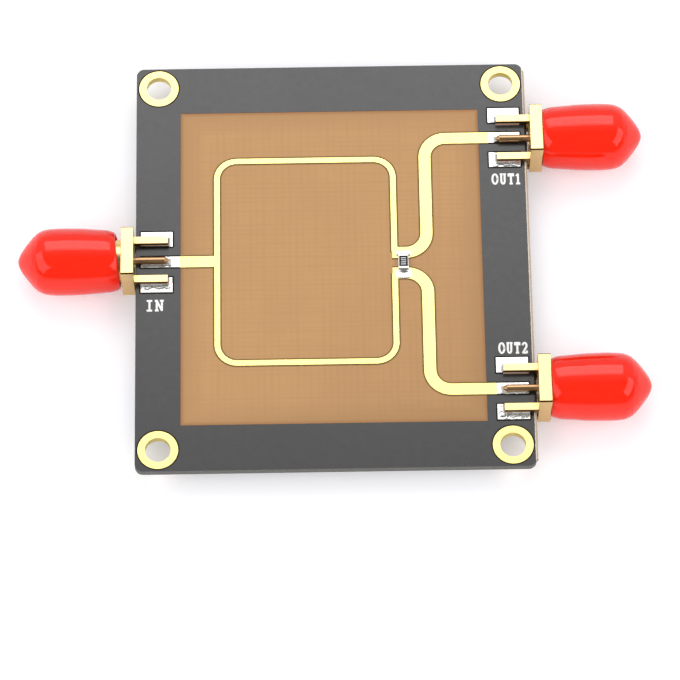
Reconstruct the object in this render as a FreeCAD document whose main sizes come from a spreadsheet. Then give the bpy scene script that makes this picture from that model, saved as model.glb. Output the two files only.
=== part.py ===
import FreeCAD, Part
import os
import Sketcher

# Two-way radio-frequency power splitter: a small laminate board with an etched
# microstrip divider, a chip resistor across its two branches, three edge-mounted
# threaded coaxial jacks and a push-on dust cap over each jack.
# Millimetres, +Z up, +X towards the two output jacks, +Y towards output 1.
# The origin is the centre of the object's box, on the surface that it rests on.

QUARTER_TURN = 90
HALF_TURN = 180
THREE_QUARTERS = 270
FULL_TURN = 360
# how near two places or radii are when a test takes them as the same
NEAR = 1e-4

SIZES = {
    # board
    "board_width": 49.2,
    "board_depth": 55.35,
    "board_corner_radius": 1.0,
    "laminate_thickness": 1.0,
    "copper_thickness": 0.05,
    "copper_pull_back": 0.3,
    "mask_thickness": 0.04,
    "mask_clearance": 0.1,
    # widths of the solder mask's four borders round the bare laminate window
    "border_left": 5.6,
    "border_right": 5.85,
    "border_back": 6.4,
    "border_front": 6.0,
    # plated mounting holes
    "hole_diameter": 3.2,
    "hole_from_side": 2.83,
    "hole_from_end": 2.805,
    "plating_wall": 0.05,
    "ring_diameter": 5.0,
    # microstrip: wide tracks at the ports, narrow arms in the quarter-wave ring
    "track_width": 1.5,
    "track_bend_radius": 2.65,
    "arm_width": 0.72,
    "arm_bend_radius": 2.5,
    "ring_middle_x": -3.32,
    "ring_span_x": 22.2,
    "ring_span_y": 27.8,
    "feed_y": 0.48,
    "output_middle_y": -0.08,
    "output_from_end": 10.385,
    "output_column_x": 11.85,
    "resistor_gap": 1.33,
    # soldering pads at the board's edges
    "pad_length": 4.0,
    "pad_width": 2.1,
    "pad_pitch": 6.26,
    "pad_setback": 0.62,
    # chip resistor
    "resistor_x": 8.87,
    "resistor_length": 2.0,
    "resistor_width": 1.3,
    "resistor_height": 0.5,
    "terminal_length": 0.3,
    "terminal_wall": 0.05,
    "overcoat_width": 1.05,
    "overcoat_thickness": 0.07,
    # connector shell
    "flange_size": 6.5,
    "flange_thickness": 1.45,
    "flange_chamfer": 0.1,
    "neck_diameter": 5.3,
    "neck_length": 1.2,
    "thread_diameter": 6.35,
    "barrel_length": 9.5,
    "barrel_chamfer": 0.4,
    "mouth_diameter": 4.6,
    "mouth_depth": 1.9,
    "leg_width": 1.0,
    "leg_height": 0.9,
    "leg_length": 4.25,
    "leg_pitch": 5.3,
    "leg_stand_off": 0.05,
    # insulator and centre contact
    "insulator_diameter": 4.1,
    "contact_diameter": 1.27,
    "socket_bore": 0.94,
    "socket_depth": 2.8,
    "socket_point": 0.25,
    "slot_width": 0.2,
    "slot_length": 2.3,
    "pin_diameter": 0.95,
    "pin_length": 4.35,
    "pin_point_length": 0.5,
    "pin_point_diameter": 0.25,
    # gap from the board's edge to each flange, and each jack's place along the edge
    "seat_gap_in": 0.2,
    "seat_gap_out1": 0.62,
    "seat_gap_out2": 0.48,
    "seat_shift_in": 0.0,
    "seat_shift_out1": -0.4,
    "seat_shift_out2": -0.2,
    # solder
    "tin_thickness": 0.03,
    "leg_solder_height": 0.5,
    "leg_solder_inset": 0.35,
    "pin_solder_height": 0.4,
    "pin_solder_inset": 0.3,
    "chip_solder_height": 0.35,
    "chip_solder_inset": 0.3,
    "chip_solder_reach": 0.6,
    "chip_solder_width": 1.95,
    "tinned_length_in": 4.9,
    "tinned_length_out": 3.75,
    # dust caps
    "cap_clearance": 0.05,
    "cap_mouth_wall": 0.525,
    "cap_belly_wall": 1.0,
    "cap_belly_start": 4.2,
    "cap_shoulder_offset": 0.12,
    "cap_shoulder_radius": 3.0,
    "cap_nose_length": 2.9,
    "cap_nose_diameter": 1.62,
    "cap_nose_radius": 1.9,
    "cap_lip_radius": 0.2,
    "cap_end_clearance": 0.1,
    "cap_nose_wall": 1.05,
    "cap_hollow_diameter": 2.4,
    "cap_stand_off_in": 0.61,
    "cap_stand_off_out1": 0.25,
    "cap_stand_off_out2": 0.15,
}

doc = FreeCAD.newDocument("power_splitter")
sheet = doc.addObject("Spreadsheet::Sheet", "Sizes")
for row, (alias, number) in enumerate(SIZES.items(), start=1):
    sheet.set(f"A{row}", alias)
    sheet.set(f"B{row}", str(number))
    sheet.setAlias(f"B{row}", alias)
doc.recompute()


def of(alias):
    """Expression that reads one cell of the sheet."""
    return f"Sizes.{alias}"


def value(expression):
    """Present value of an expression over the sheet, as a plain number."""
    return float(sheet.evalExpression(str(expression)))


# Levels, with the jacks' axis above the surface and the board hung on the pins
CAP_BORE_RADIUS = f"({of('thread_diameter')} / 2 + {of('cap_clearance')})"
CAP_BELLY_RADIUS = f"({CAP_BORE_RADIUS} + {of('cap_belly_wall')})"
AXIS_Z = CAP_BELLY_RADIUS
AXIS_OVER_BOARD = f"({of('pin_diameter')} / 2 + {of('copper_thickness')})"
BOARD_Z = f"({AXIS_Z} - {AXIS_OVER_BOARD})"
TOP_COPPER = of("copper_thickness")
LAMINATE_FOOT = f"(-{of('laminate_thickness')})"
COPPER_FOOT = f"({LAMINATE_FOOT} - {of('copper_thickness')})"
MASK_FOOT = f"({COPPER_FOOT} - {of('mask_thickness')})"

# Board position that puts the object's box, cap nose to cap nose, over the origin
REACH_IN = f"({of('seat_gap_in')} + {of('cap_stand_off_in')})"
REACH_OUT1 = f"({of('seat_gap_out1')} + {of('cap_stand_off_out1')})"
REACH_OUT2 = f"({of('seat_gap_out2')} + {of('cap_stand_off_out2')})"
BOARD_X = f"(({REACH_IN} - max({REACH_OUT1}; {REACH_OUT2})) / 2)"
BOARD = (BOARD_X, "0", BOARD_Z)
HERE = ("0", "0", "0")

HALF_WIDTH = f"({of('board_width')} / 2)"
HALF_DEPTH = f"({of('board_depth')} / 2)"
HALF_OUTPUT_PITCH = f"({HALF_DEPTH} - {of('output_from_end')})"

# Each port: name, side of the board (-1 left, 1 right) and where its track runs
PORTS = {
    "in": (-1, of("feed_y"), of("tinned_length_in")),
    "out1": (1, f"({of('output_middle_y')} + {HALF_OUTPUT_PITCH})", of("tinned_length_out")),
    "out2": (1, f"({of('output_middle_y')} - {HALF_OUTPUT_PITCH})", of("tinned_length_out")),
}

nodes = []


def keep(shape_object, label):
    """Name a finished sub-part and list it for export."""
    shape_object.Label = label
    nodes.append(shape_object)
    return shape_object


def bind_place(shape_object, place):
    """Tie the three coordinates of an object's placement to expressions."""
    for axis, expression in zip("xyz", place):
        shape_object.setExpression(f"Placement.Base.{axis}", expression)


def slab(name, x_span, y_span, z_span, place=HERE):
    """Box between a low and a high expression along each axis."""
    box = doc.addObject("Part::Box", name)
    spans = (x_span, y_span, z_span)
    for side, (low, high) in zip(("Length", "Width", "Height"), spans):
        box.setExpression(side, f"({high}) - ({low})")
    bind_place(box, [f"{start} + ({low})" for start, (low, high) in zip(place, spans)])
    return box


def upright(name, diameter, centre, z_span, place=HERE):
    """Vertical cylinder from its diameter, its centre and its height span."""
    low, high = z_span
    cylinder = doc.addObject("Part::Cylinder", name)
    cylinder.setExpression("Radius", f"({diameter}) / 2")
    cylinder.setExpression("Height", f"({high}) - ({low})")
    corner = (centre[0], centre[1], low)
    bind_place(cylinder, [f"{start} + ({offset})" for start, offset in zip(place, corner)])
    return cylinder


def taper(name, x_span, y_span, foot, height, inset, side):
    """Solder block that narrows by an inset on all sides, upwards (side 1) or downwards (side -1)."""
    length = f"(({x_span[1]}) - ({x_span[0]}))"
    width = f"(({y_span[1]}) - ({y_span[0]}))"
    wedge = doc.addObject("Part::Wedge", name)
    limits = {
        "Xmin": "0",
        "Xmax": length,
        "Zmin": "0",
        "Zmax": width,
        "Ymin": "0",
        "Ymax": height,
        "X2min": inset,
        "X2max": f"{length} - {inset}",
        "Z2min": inset,
        "Z2max": f"{width} - {inset}",
    }
    for limit, expression in limits.items():
        wedge.setExpression(limit, expression)
    wedge.Placement.Rotation = FreeCAD.Rotation(FreeCAD.Vector(1, 0, 0), side * QUARTER_TURN)
    bind_place(wedge, (x_span[0], y_span[1] if side > 0 else y_span[0], foot))
    return wedge


def joined(name, pieces, place=HERE):
    """One solid from pieces that touch."""
    fusion = doc.addObject("Part::MultiFuse", name)
    fusion.Shapes = pieces
    fusion.Refine = True
    bind_place(fusion, place)
    return fusion


def grouped(name, pieces, place=HERE):
    """Separate solids that share a node."""
    group = doc.addObject("Part::Compound", name)
    group.Links = pieces
    bind_place(group, place)
    return group


def cut(name, base, tools, place=HERE):
    """A base less one or more tools."""
    tool = tools[0] if len(tools) == 1 else grouped(f"{name}_tools", tools)
    difference = doc.addObject("Part::Cut", name)
    difference.Base = base
    difference.Tool = tool
    bind_place(difference, place)
    return difference


def outward(side, near, far):
    """Low and high X of what lies between two distances from the board's middle."""
    if side > 0:
        return (near, far)
    return (f"-({far})", f"-({near})")


def around(middle, width):
    """Low and high expressions of a width about a middle."""
    return (f"({middle}) - ({width}) / 2", f"({middle}) + ({width}) / 2")


def origin_plane(body, role):
    """One of a body's own origin planes."""
    return next(item for item in body.Origin.OriginFeatures if item.Role == role)


def hold(sketch, line, kind, expression):
    """Hold the start of a line at a distance from the sketch's origin."""
    if str(expression) == "0":
        axis = -1 if kind == "DistanceY" else -2
        sketch.addConstraint(Sketcher.Constraint("PointOnObject", line, 1, axis))
        return
    distance = Sketcher.Constraint(kind, -1, 1, line, 1, value(expression))
    index = sketch.addConstraint(distance)
    sketch.setExpression(f"Constraints[{index}]", str(expression))


def outline(body, name, plane, loops):
    """Sketch of closed polygons whose corners are held by expressions."""
    sketch = body.newObject("Sketcher::SketchObject", name)
    sketch.AttachmentSupport = [(origin_plane(body, plane), "")]
    sketch.MapMode = "FlatFace"
    for corners in loops:
        first = sketch.GeometryCount
        points = [FreeCAD.Vector(value(across), value(up), 0) for across, up in corners]
        for start, end in zip(points, points[1:] + points[:1]):
            sketch.addGeometry(Part.LineSegment(start, end), False)
        for step, (across, up) in enumerate(corners):
            following = first + (step + 1) % len(corners)
            sketch.addConstraint(Sketcher.Constraint("Coincident", first + step, 2, following, 1))
            hold(sketch, first + step, "DistanceX", across)
            hold(sketch, first + step, "DistanceY", up)
    return sketch


def rectangle(x_span, y_span):
    """Corners of a rectangle between two spans."""
    return [
        (x_span[0], y_span[0]),
        (x_span[1], y_span[0]),
        (x_span[1], y_span[1]),
        (x_span[0], y_span[1]),
    ]


def pad(body, name, sketch, length, backwards=False):
    """Raise a sketch into a solid."""
    feature = body.newObject("PartDesign::Pad", name)
    feature.Profile = sketch
    feature.setExpression("Length", length)
    feature.Reversed = backwards
    return feature


def revolve(body, name, sketch, kind="PartDesign::Revolution"):
    """Turn a profile about the body's X axis, to add metal or to bore it away."""
    feature = body.newObject(kind, name)
    feature.Profile = sketch
    feature.ReferenceAxis = (sketch, ["H_Axis"])
    feature.Angle = FULL_TURN
    return feature


def round_edges(body, name, base, radius, wanted, kind="PartDesign::Fillet", prop="Radius"):
    """Fillet or chamfer the edges of a feature that a test picks out."""
    doc.recompute()
    edges = [f"Edge{number}" for number, edge in enumerate(base.Shape.Edges, start=1) if wanted(edge)]
    feature = body.newObject(kind, name)
    feature.Base = (base, edges)
    feature.setExpression(prop, radius)
    return feature


def is_circle(edge, position, radius):
    """True for a full circle at a distance along X with a given radius."""
    curve = edge.Curve
    if not isinstance(curve, Part.Circle):
        return False
    return abs(curve.Center.x - position) < NEAR and abs(curve.Radius - radius) < NEAR


def is_upright(edge):
    """True for an edge that climbs from one face of a plate to the other."""
    return abs(edge.Vertexes[0].Z - edge.Vertexes[-1].Z) > NEAR


def plate(name, inset, foot, head):
    """Plate of the board's outline, less an inset, with its corners rounded."""
    body = doc.addObject("PartDesign::Body", name)
    across = f"({HALF_WIDTH} - {inset})"
    along = f"({HALF_DEPTH} - {inset})"
    edge = rectangle((f"-{across}", across), (f"-{along}", along))
    sketch = outline(body, f"{name}_outline", "XY_Plane", [edge])
    raised = pad(body, f"{name}_pad", sketch, f"{head} - ({foot})")
    corner_radius = f"{of('board_corner_radius')} - {inset}"
    round_edges(body, f"{name}_corners", raised, corner_radius, is_upright)
    bind_place(body, ("0", "0", foot))
    return body


def at_holes():
    """Names and centres of the four mounting holes."""
    half_x = f"({HALF_WIDTH} - {of('hole_from_side')})"
    half_y = f"({HALF_DEPTH} - {of('hole_from_end')})"
    for sign_x in ("-", "+"):
        for sign_y in ("-", "+"):
            corner = ("left" if sign_x == "-" else "right") + ("_front" if sign_y == "-" else "_back")
            yield corner, (f"{sign_x}{half_x}", f"{sign_y}{half_y}")


def at_pads():
    """Names and spans of the six ground pads, two beside each track's end."""
    far = f"{HALF_WIDTH} - {of('pad_setback')}"
    near = f"{far} - {of('pad_length')}"
    for port, (side, track_y, tinned) in PORTS.items():
        for sign in ("-", "+"):
            middle = f"{track_y} {sign} {of('pad_pitch')} / 2"
            edge = "front" if sign == "-" else "back"
            yield f"{port}_{edge}", outward(side, near, far), around(middle, of("pad_width"))


def widened(span, margin):
    """A span with a margin added at both ends."""
    return (f"({span[0]}) - {margin}", f"({span[1]}) + {margin}")


def laminate_board():
    """The laminate with its four drilled holes."""
    blank = plate("laminate_blank", "0", LAMINATE_FOOT, "0")
    drill = f"{of('hole_diameter')} + 2 * {of('plating_wall')}"
    span = (COPPER_FOOT, TOP_COPPER)
    drills = [upright(f"drill_{corner}", drill, centre, span) for corner, centre in at_holes()]
    keep(cut("laminate", blank, drills, BOARD), "laminate_board")


def ground_plane():
    """Copper sheet under the laminate, open where the plated rings sit."""
    blank = plate("plane_blank", of("copper_pull_back"), COPPER_FOOT, LAMINATE_FOOT)
    span = (MASK_FOOT, "0")
    ring = of("ring_diameter")
    rings = [upright(f"plane_ring_{corner}", ring, centre, span) for corner, centre in at_holes()]
    keep(cut("plane", blank, rings, BOARD), "ground_plane")


def mask_openings(name, z_span):
    """Openings that both solder masks have, over the plated rings and the ground pads."""
    margin = of("mask_clearance")
    ring = f"{of('ring_diameter')} + 2 * {margin}"
    tools = [upright(f"{name}_ring_{corner}", ring, centre, z_span) for corner, centre in at_holes()]
    for pad_name, x_span, y_span in at_pads():
        opening_x = widened(x_span, margin)
        opening_y = widened(y_span, margin)
        tools.append(slab(f"{name}_pad_{pad_name}", opening_x, opening_y, z_span))
    return tools


def top_solder_mask():
    """Dark mask round the bare window, open over tracks, pads and rings."""
    blank = plate("top_mask_blank", "0", "0", of("mask_thickness"))
    z_span = (LAMINATE_FOOT, f"2 * {of('mask_thickness')}")
    margin = of("mask_clearance")
    tools = mask_openings("top_opening", z_span)
    window_x = (f"{of('border_left')} - {HALF_WIDTH}", f"{HALF_WIDTH} - {of('border_right')}")
    window_y = (f"{of('border_front')} - {HALF_DEPTH}", f"{HALF_DEPTH} - {of('border_back')}")
    tools.append(slab("window", window_x, window_y, z_span))
    for port, (side, track_y, tinned) in PORTS.items():
        border = of("border_left") if side < 0 else of("border_right")
        near = f"{HALF_WIDTH} - {border} - {margin}"
        far = f"{HALF_WIDTH} - {of('pad_setback')} + {margin}"
        slot = widened(around(track_y, of("track_width")), margin)
        tools.append(slab(f"track_slot_{port}", outward(side, near, far), slot, z_span))
    keep(cut("top_mask", blank, tools, BOARD), "top_solder_mask")


def bottom_solder_mask():
    """Dark mask over the ground plane, open at the rings and under the lower legs."""
    blank = plate("bottom_mask_blank", "0", MASK_FOOT, COPPER_FOOT)
    tools = mask_openings("bottom_opening", (f"{MASK_FOOT} - {of('mask_thickness')}", "0"))
    keep(cut("bottom_mask", blank, tools, BOARD), "bottom_solder_mask")


def hole_plating():
    """Plated barrels with a ring on each face, one in each mounting hole."""
    eyelets = []
    tube = f"{of('hole_diameter')} + 2 * {of('plating_wall')}"
    for corner, centre in at_holes():
        top_ring = upright(f"top_ring_{corner}", of("ring_diameter"), centre, ("0", TOP_COPPER))
        wall = upright(f"wall_{corner}", tube, centre, (COPPER_FOOT, TOP_COPPER))
        low_ring = upright(f"low_ring_{corner}", of("ring_diameter"), centre, (COPPER_FOOT, LAMINATE_FOOT))
        eyelet = joined(f"eyelet_blank_{corner}", [top_ring, wall, low_ring])
        bore = upright(f"bore_{corner}", of("hole_diameter"), centre, (MASK_FOOT, f"2 * {TOP_COPPER}"))
        eyelets.append(cut(f"eyelet_{corner}", eyelet, [bore]))
    keep(grouped("eyelets", eyelets, BOARD), "hole_plating")


def bend(name, middle, radius, width, start_angle):
    """Quarter of a flat ring: a track's bend about a middle point."""
    rings = []
    for edge, sign in (("outer", "+"), ("inner", "-")):
        ring = upright(f"{name}_{edge}", f"2 * ({radius} {sign} {width} / 2)", middle, ("0", TOP_COPPER))
        rings.append(ring)
    rings[0].Angle = QUARTER_TURN
    rings[0].Placement.Rotation = FreeCAD.Rotation(FreeCAD.Vector(0, 0, 1), start_angle)
    return cut(name, rings[0], [rings[1]])


def run(name, x_span, y_span):
    """Straight stretch of track."""
    return slab(name, x_span, y_span, ("0", TOP_COPPER))


def ring_arms():
    """The two narrow arms: a rounded ring, open on the right across the resistor's gap."""
    width = of("arm_width")
    radius = of("arm_bend_radius")
    left = f"({of('ring_middle_x')} - {of('ring_span_x')} / 2)"
    right = f"({of('ring_middle_x')} + {of('ring_span_x')} / 2)"
    upwards = around(of("feed_y"), f"({of('ring_span_y')} - 2 * {radius})")
    pieces = [run("arm_left", around(left, width), upwards)]
    arms = (
        ("back", "+", "-", QUARTER_TURN, 0),
        ("front", "-", "+", HALF_TURN, THREE_QUARTERS),
    )
    for arm, sign, inner, left_turn, right_turn in arms:
        level = f"({of('feed_y')} {sign} {of('ring_span_y')} / 2)"
        turn_y = f"({level} {inner} {radius})"
        across = (f"{left} + {radius}", f"{right} - {radius}")
        pieces.append(run(f"arm_{arm}", across, around(level, width)))
        pieces.append(bend(f"arm_{arm}_left", (across[0], turn_y), radius, width, left_turn))
        pieces.append(bend(f"arm_{arm}_right", (across[1], turn_y), radius, width, right_turn))
        end = f"({of('output_middle_y')} {sign} ({of('resistor_gap')} / 2 + {of('track_width')} / 2))"
        down = (end, turn_y) if sign == "+" else (turn_y, end)
        pieces.append(run(f"arm_{arm}_end", around(right, width), down))
    return pieces


def output_tracks():
    """Both wide branches: out of the arm's end, along the column and out to the jack."""
    width = of("track_width")
    radius = of("track_bend_radius")
    start = f"({of('ring_middle_x')} + {of('ring_span_x')} / 2 - {of('arm_width')} / 2)"
    column = of("output_column_x")
    finish = f"{HALF_WIDTH} - {of('pad_setback')}"
    pieces = []
    branches = (
        ("out1", "+", "-", THREE_QUARTERS, QUARTER_TURN),
        ("out2", "-", "+", 0, HALF_TURN),
    )
    for port, sign, inner, first_turn, last_turn in branches:
        near = f"({of('output_middle_y')} {sign} ({of('resistor_gap')} / 2 + {width} / 2))"
        far = PORTS[port][1]
        first_y = f"({near} {sign} {radius})"
        last_y = f"({far} {inner} {radius})"
        pieces.append(run(f"{port}_start", (start, f"{column} - {radius}"), around(near, width)))
        pieces.append(bend(f"{port}_first", (f"{column} - {radius}", first_y), radius, width, first_turn))
        column_y = (first_y, last_y) if sign == "+" else (last_y, first_y)
        pieces.append(run(f"{port}_column", around(column, width), column_y))
        pieces.append(bend(f"{port}_last", (f"{column} + {radius}", last_y), radius, width, last_turn))
        pieces.append(run(f"{port}_finish", (f"{column} + {radius}", finish), around(far, width)))
    return pieces


def divider_track():
    """The etched splitter in one piece: feed, ring and both branches."""
    left = f"({of('ring_middle_x')} - {of('ring_span_x')} / 2)"
    feed_x = (f"{of('pad_setback')} - {HALF_WIDTH}", left)
    feed = run("feed", feed_x, around(of("feed_y"), of("track_width")))
    keep(joined("track", [feed] + ring_arms() + output_tracks(), BOARD), "divider_track")


def ground_pads():
    """Copper pads beside the three tracks' ends."""
    pads = [run(f"pad_{name}", x_span, y_span) for name, x_span, y_span in at_pads()]
    keep(grouped("pads", pads, BOARD), "ground_pads")


def chip_resistor():
    """Ceramic chip with wrapped metal ends and a dark overcoat, across the gap."""
    middle = of("output_middle_y")
    half = f"{of('resistor_length')} / 2"
    wall = of("terminal_wall")
    across = around(of("resistor_x"), of("resistor_width"))
    foot = TOP_COPPER
    head = f"{TOP_COPPER} + {of('resistor_height')}"
    inner_y = (f"{middle} - {half} + {wall}", f"{middle} + {half} - {wall}")
    inner_z = (f"{foot} + {wall}", f"{head} - {wall}")
    keep(slab("chip", across, inner_y, inner_z, BOARD), "resistor_body")
    chip_tool = slab("chip_tool", across, inner_y, inner_z)
    ends = []
    front_end = (f"{middle} - {half}", f"{middle} - {half} + {of('terminal_length')}")
    back_end = (f"{middle} + {half} - {of('terminal_length')}", f"{middle} + {half}")
    for end, y_span in (("front", front_end), ("back", back_end)):
        block = slab(f"terminal_block_{end}", across, y_span, (foot, head))
        ends.append(cut(f"terminal_{end}", block, [chip_tool]))
    keep(grouped("terminals", ends, BOARD), "resistor_terminals")
    coat_z = (f"{head} - {wall}", f"{head} - {wall} + {of('overcoat_thickness')}")
    coat_x = around(of("resistor_x"), of("overcoat_width"))
    keep(slab("overcoat", coat_x, (front_end[1], back_end[0]), coat_z, BOARD), "resistor_overcoat")
    whole = slab("chip_whole", across, (front_end[0], back_end[1]), (foot, head))
    beads = []
    gap = f"{of('resistor_gap')} / 2"
    reach = f"({half} + {of('chip_solder_reach')})"
    solder_x = around(of("resistor_x"), of("chip_solder_width"))
    front_y = (f"{middle} - {reach}", f"{middle} - {gap}")
    back_y = (f"{middle} + {gap}", f"{middle} + {reach}")
    for end, y_span in (("front", front_y), ("back", back_y)):
        bead = taper(f"chip_bead_{end}", solder_x, y_span, TOP_COPPER, of("chip_solder_height"),
                     of("chip_solder_inset"), 1)
        beads.append(cut(f"chip_solder_{end}", bead, [whole]))
    keep(grouped("chip_solder", beads, BOARD), "resistor_solder")


def leg_levels():
    """Height spans, from the jack's axis, of the upper and the lower legs."""
    upper = f"(-{of('pin_diameter')} / 2 + {of('leg_stand_off')})"
    lower = f"({COPPER_FOOT} - {AXIS_OVER_BOARD} - {of('leg_stand_off')})"
    return {
        "top": (upper, f"{upper} + {of('leg_height')}"),
        "bottom": (f"{lower} - {of('leg_height')}", lower),
    }


def jack_place(port):
    """Where a jack's own origin, its flange's board side on its axis, lies in the part."""
    side, track_y, tinned = PORTS[port]
    distance = f"({HALF_WIDTH} + {of('seat_gap_' + port)})"
    sign = "-" if side < 0 else "+"
    return (f"{BOARD_X} {sign} {distance}", f"{track_y} + {of('seat_shift_' + port)}", AXIS_Z)


def seat(body, port):
    """Put a jack's piece, drawn along +X from its flange, at its port."""
    if PORTS[port][0] < 0:
        body.Placement.Rotation = FreeCAD.Rotation(FreeCAD.Vector(0, 0, 1), HALF_TURN)
    bind_place(body, jack_place(port))


def connector_shell(port):
    """Square flange, threaded barrel and four legs, turned and milled as one piece."""
    body = doc.addObject("PartDesign::Body", f"shell_{port}")
    half = f"{of('flange_size')} / 2"
    square = rectangle((f"-{half}", half), (f"-{half}", half))
    flange_sketch = outline(body, f"flange_outline_{port}", "YZ_Plane", [square])
    flange = pad(body, f"flange_{port}", flange_sketch, of("flange_thickness"))
    front = value(of("flange_thickness"))
    round_edges(body, f"flange_bevel_{port}", flange, of("flange_chamfer"),
                lambda edge: all(abs(corner.X - front) < NEAR for corner in edge.Vertexes),
                "PartDesign::Chamfer", "Size")
    levels = leg_levels()
    leg_loops = []
    for sign in ("-", "+"):
        middle = f"{sign}{of('leg_pitch')} / 2"
        for z_span in levels.values():
            leg_loops.append(rectangle(around(middle, of("leg_width")), z_span))
    legs = outline(body, f"leg_outline_{port}", "YZ_Plane", leg_loops)
    pad(body, f"legs_{port}", legs, of("leg_length"), backwards=True)
    thread = f"{of('thread_diameter')} / 2"
    neck = f"{of('neck_diameter')} / 2"
    face = f"{of('flange_thickness')} / 2"
    neck_end = f"{of('flange_thickness')} + {of('neck_length')}"
    step = f"({thread} - {neck})"
    barrel_end = f"{of('flange_thickness')} + {of('barrel_length')}"
    chamfer = of("barrel_chamfer")
    profile = [
        (face, "0"),
        (face, neck),
        (neck_end, neck),
        (f"{neck_end} + {step}", thread),
        (f"{barrel_end} - {chamfer}", thread),
        (barrel_end, f"{thread} - {chamfer}"),
        (barrel_end, "0"),
    ]
    revolve(body, f"barrel_{port}", outline(body, f"barrel_profile_{port}", "XY_Plane", [profile]))
    bore = f"{of('insulator_diameter')} / 2"
    mouth = f"{of('mouth_diameter')} / 2"
    ledge = f"{barrel_end} - {of('mouth_depth')}"
    hollow = [
        ("0", "0"),
        ("0", bore),
        (ledge, bore),
        (ledge, mouth),
        (barrel_end, mouth),
        (barrel_end, "0"),
    ]
    bore_sketch = outline(body, f"bore_profile_{port}", "XY_Plane", [hollow])
    revolve(body, f"bore_{port}", bore_sketch, "PartDesign::Groove")
    seat(body, port)
    keep(body, f"connector_shell_{port}")


def insulator(port):
    """White plastic bead that fills the shell round the centre contact."""
    body = doc.addObject("PartDesign::Body", f"bead_{port}")
    inner = f"{of('contact_diameter')} / 2"
    outer = f"{of('insulator_diameter')} / 2"
    length = f"{of('flange_thickness')} + {of('barrel_length')} - {of('mouth_depth')}"
    profile = rectangle(("0", length), (inner, outer))
    revolve(body, f"bead_turned_{port}", outline(body, f"bead_profile_{port}", "XY_Plane", [profile]))
    seat(body, port)
    keep(body, f"insulator_{port}")


def centre_contact(port):
    """Pin that lies on the track and slotted socket that takes the plug's pin."""
    body = doc.addObject("PartDesign::Body", f"contact_{port}")
    pin = f"{of('pin_diameter')} / 2"
    point = f"{of('pin_point_diameter')} / 2"
    outer = f"{of('contact_diameter')} / 2"
    bore = f"{of('socket_bore')} / 2"
    end = f"({of('flange_thickness')} + {of('barrel_length')} - {of('mouth_depth')})"
    bottom = f"({end} - {of('socket_depth')})"
    profile = [
        (f"-{of('pin_length')}", "0"),
        (f"-{of('pin_length')}", point),
        (f"{of('pin_point_length')} - {of('pin_length')}", pin),
        ("0", pin),
        ("0", outer),
        (end, outer),
        (end, bore),
        (bottom, bore),
        (f"{bottom} - {of('socket_point')}", "0"),
    ]
    revolve(body, f"contact_turned_{port}", outline(body, f"contact_profile_{port}", "XY_Plane", [profile]))
    slot_half = f"{of('slot_width')} / 2"
    slot = rectangle((f"{end} - {of('slot_length')}", end), (f"-{slot_half}", slot_half))
    for plane in ("XY_Plane", "XZ_Plane"):
        sketch = outline(body, f"slot_outline_{plane[:2]}_{port}", plane, [slot])
        pocket = body.newObject("PartDesign::Pocket", f"slot_{plane[:2]}_{port}")
        pocket.Profile = sketch
        pocket.Midplane = True
        pocket.setExpression("Length", f"2 * {of('contact_diameter')}")
    seat(body, port)
    keep(body, f"centre_contact_{port}")


def port_solder(port):
    """Tinned pads and the joints that hold a jack's pin and four legs to the board."""
    side, track_y, tinned = PORTS[port]
    flange_at = f"({HALF_WIDTH} + {of('seat_gap_' + port)})"
    jack_y = f"({track_y} + {of('seat_shift_' + port)})"
    far = f"{HALF_WIDTH} - {of('pad_setback')}"
    tin = of("tin_thickness")
    joints = []
    levels = leg_levels()
    leg_x = outward(side, f"{flange_at} - {of('leg_length')}", flange_at)
    for sign in ("-", "+"):
        edge = "front" if sign == "-" else "back"
        pad_y = around(f"{track_y} {sign} {of('pad_pitch')} / 2", of("pad_width"))
        pad_x = outward(side, f"{far} - {of('pad_length')}", far)
        leg_y = around(f"{jack_y} {sign} {of('leg_pitch')} / 2", of("leg_width"))
        for face, level, up in (("top", TOP_COPPER, 1), ("bottom", COPPER_FOOT, -1)):
            name = f"{port}_{edge}_{face}"
            film_z = (level, f"{level} + {tin}") if up > 0 else (f"{level} - {tin}", level)
            film = slab(f"tin_{name}", pad_x, pad_y, film_z)
            bead = taper(f"bead_{name}", pad_x, pad_y, level, of("leg_solder_height"),
                         of("leg_solder_inset"), up)
            low, high = levels[face]
            leg_z = (f"{low} + {AXIS_OVER_BOARD}", f"{high} + {AXIS_OVER_BOARD}")
            leg = slab(f"leg_tool_{name}", leg_x, leg_y, leg_z)
            joints.append(cut(f"joint_{name}", joined(f"joint_blank_{name}", [film, bead]), [leg]))
    tinned_x = outward(side, f"{far} - {tinned}", far)
    track_span = around(track_y, of("track_width"))
    film = slab(f"tin_{port}_pin", tinned_x, track_span, (TOP_COPPER, f"{TOP_COPPER} + {tin}"))
    joint_x = outward(side, f"{flange_at} - {of('pin_length')}", far)
    bead = taper(f"bead_{port}_pin", joint_x, track_span, TOP_COPPER, of("pin_solder_height"),
                 of("pin_solder_inset"), 1)
    pin = doc.addObject("Part::Cylinder", f"pin_tool_{port}")
    pin.setExpression("Radius", f"{of('pin_diameter')} / 2")
    pin.setExpression("Height", of("pin_length"))
    pin.Placement.Rotation = FreeCAD.Rotation(FreeCAD.Vector(0, 1, 0), QUARTER_TURN)
    pin_x = outward(side, f"{flange_at} - {of('pin_length')}", flange_at)
    bind_place(pin, (pin_x[0], jack_y, AXIS_OVER_BOARD))
    joints.append(cut(f"joint_{port}_pin", joined(f"joint_blank_{port}_pin", [film, bead]), [pin]))
    keep(grouped(f"solder_{port}", joints, BOARD), f"port_solder_{port}")


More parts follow.
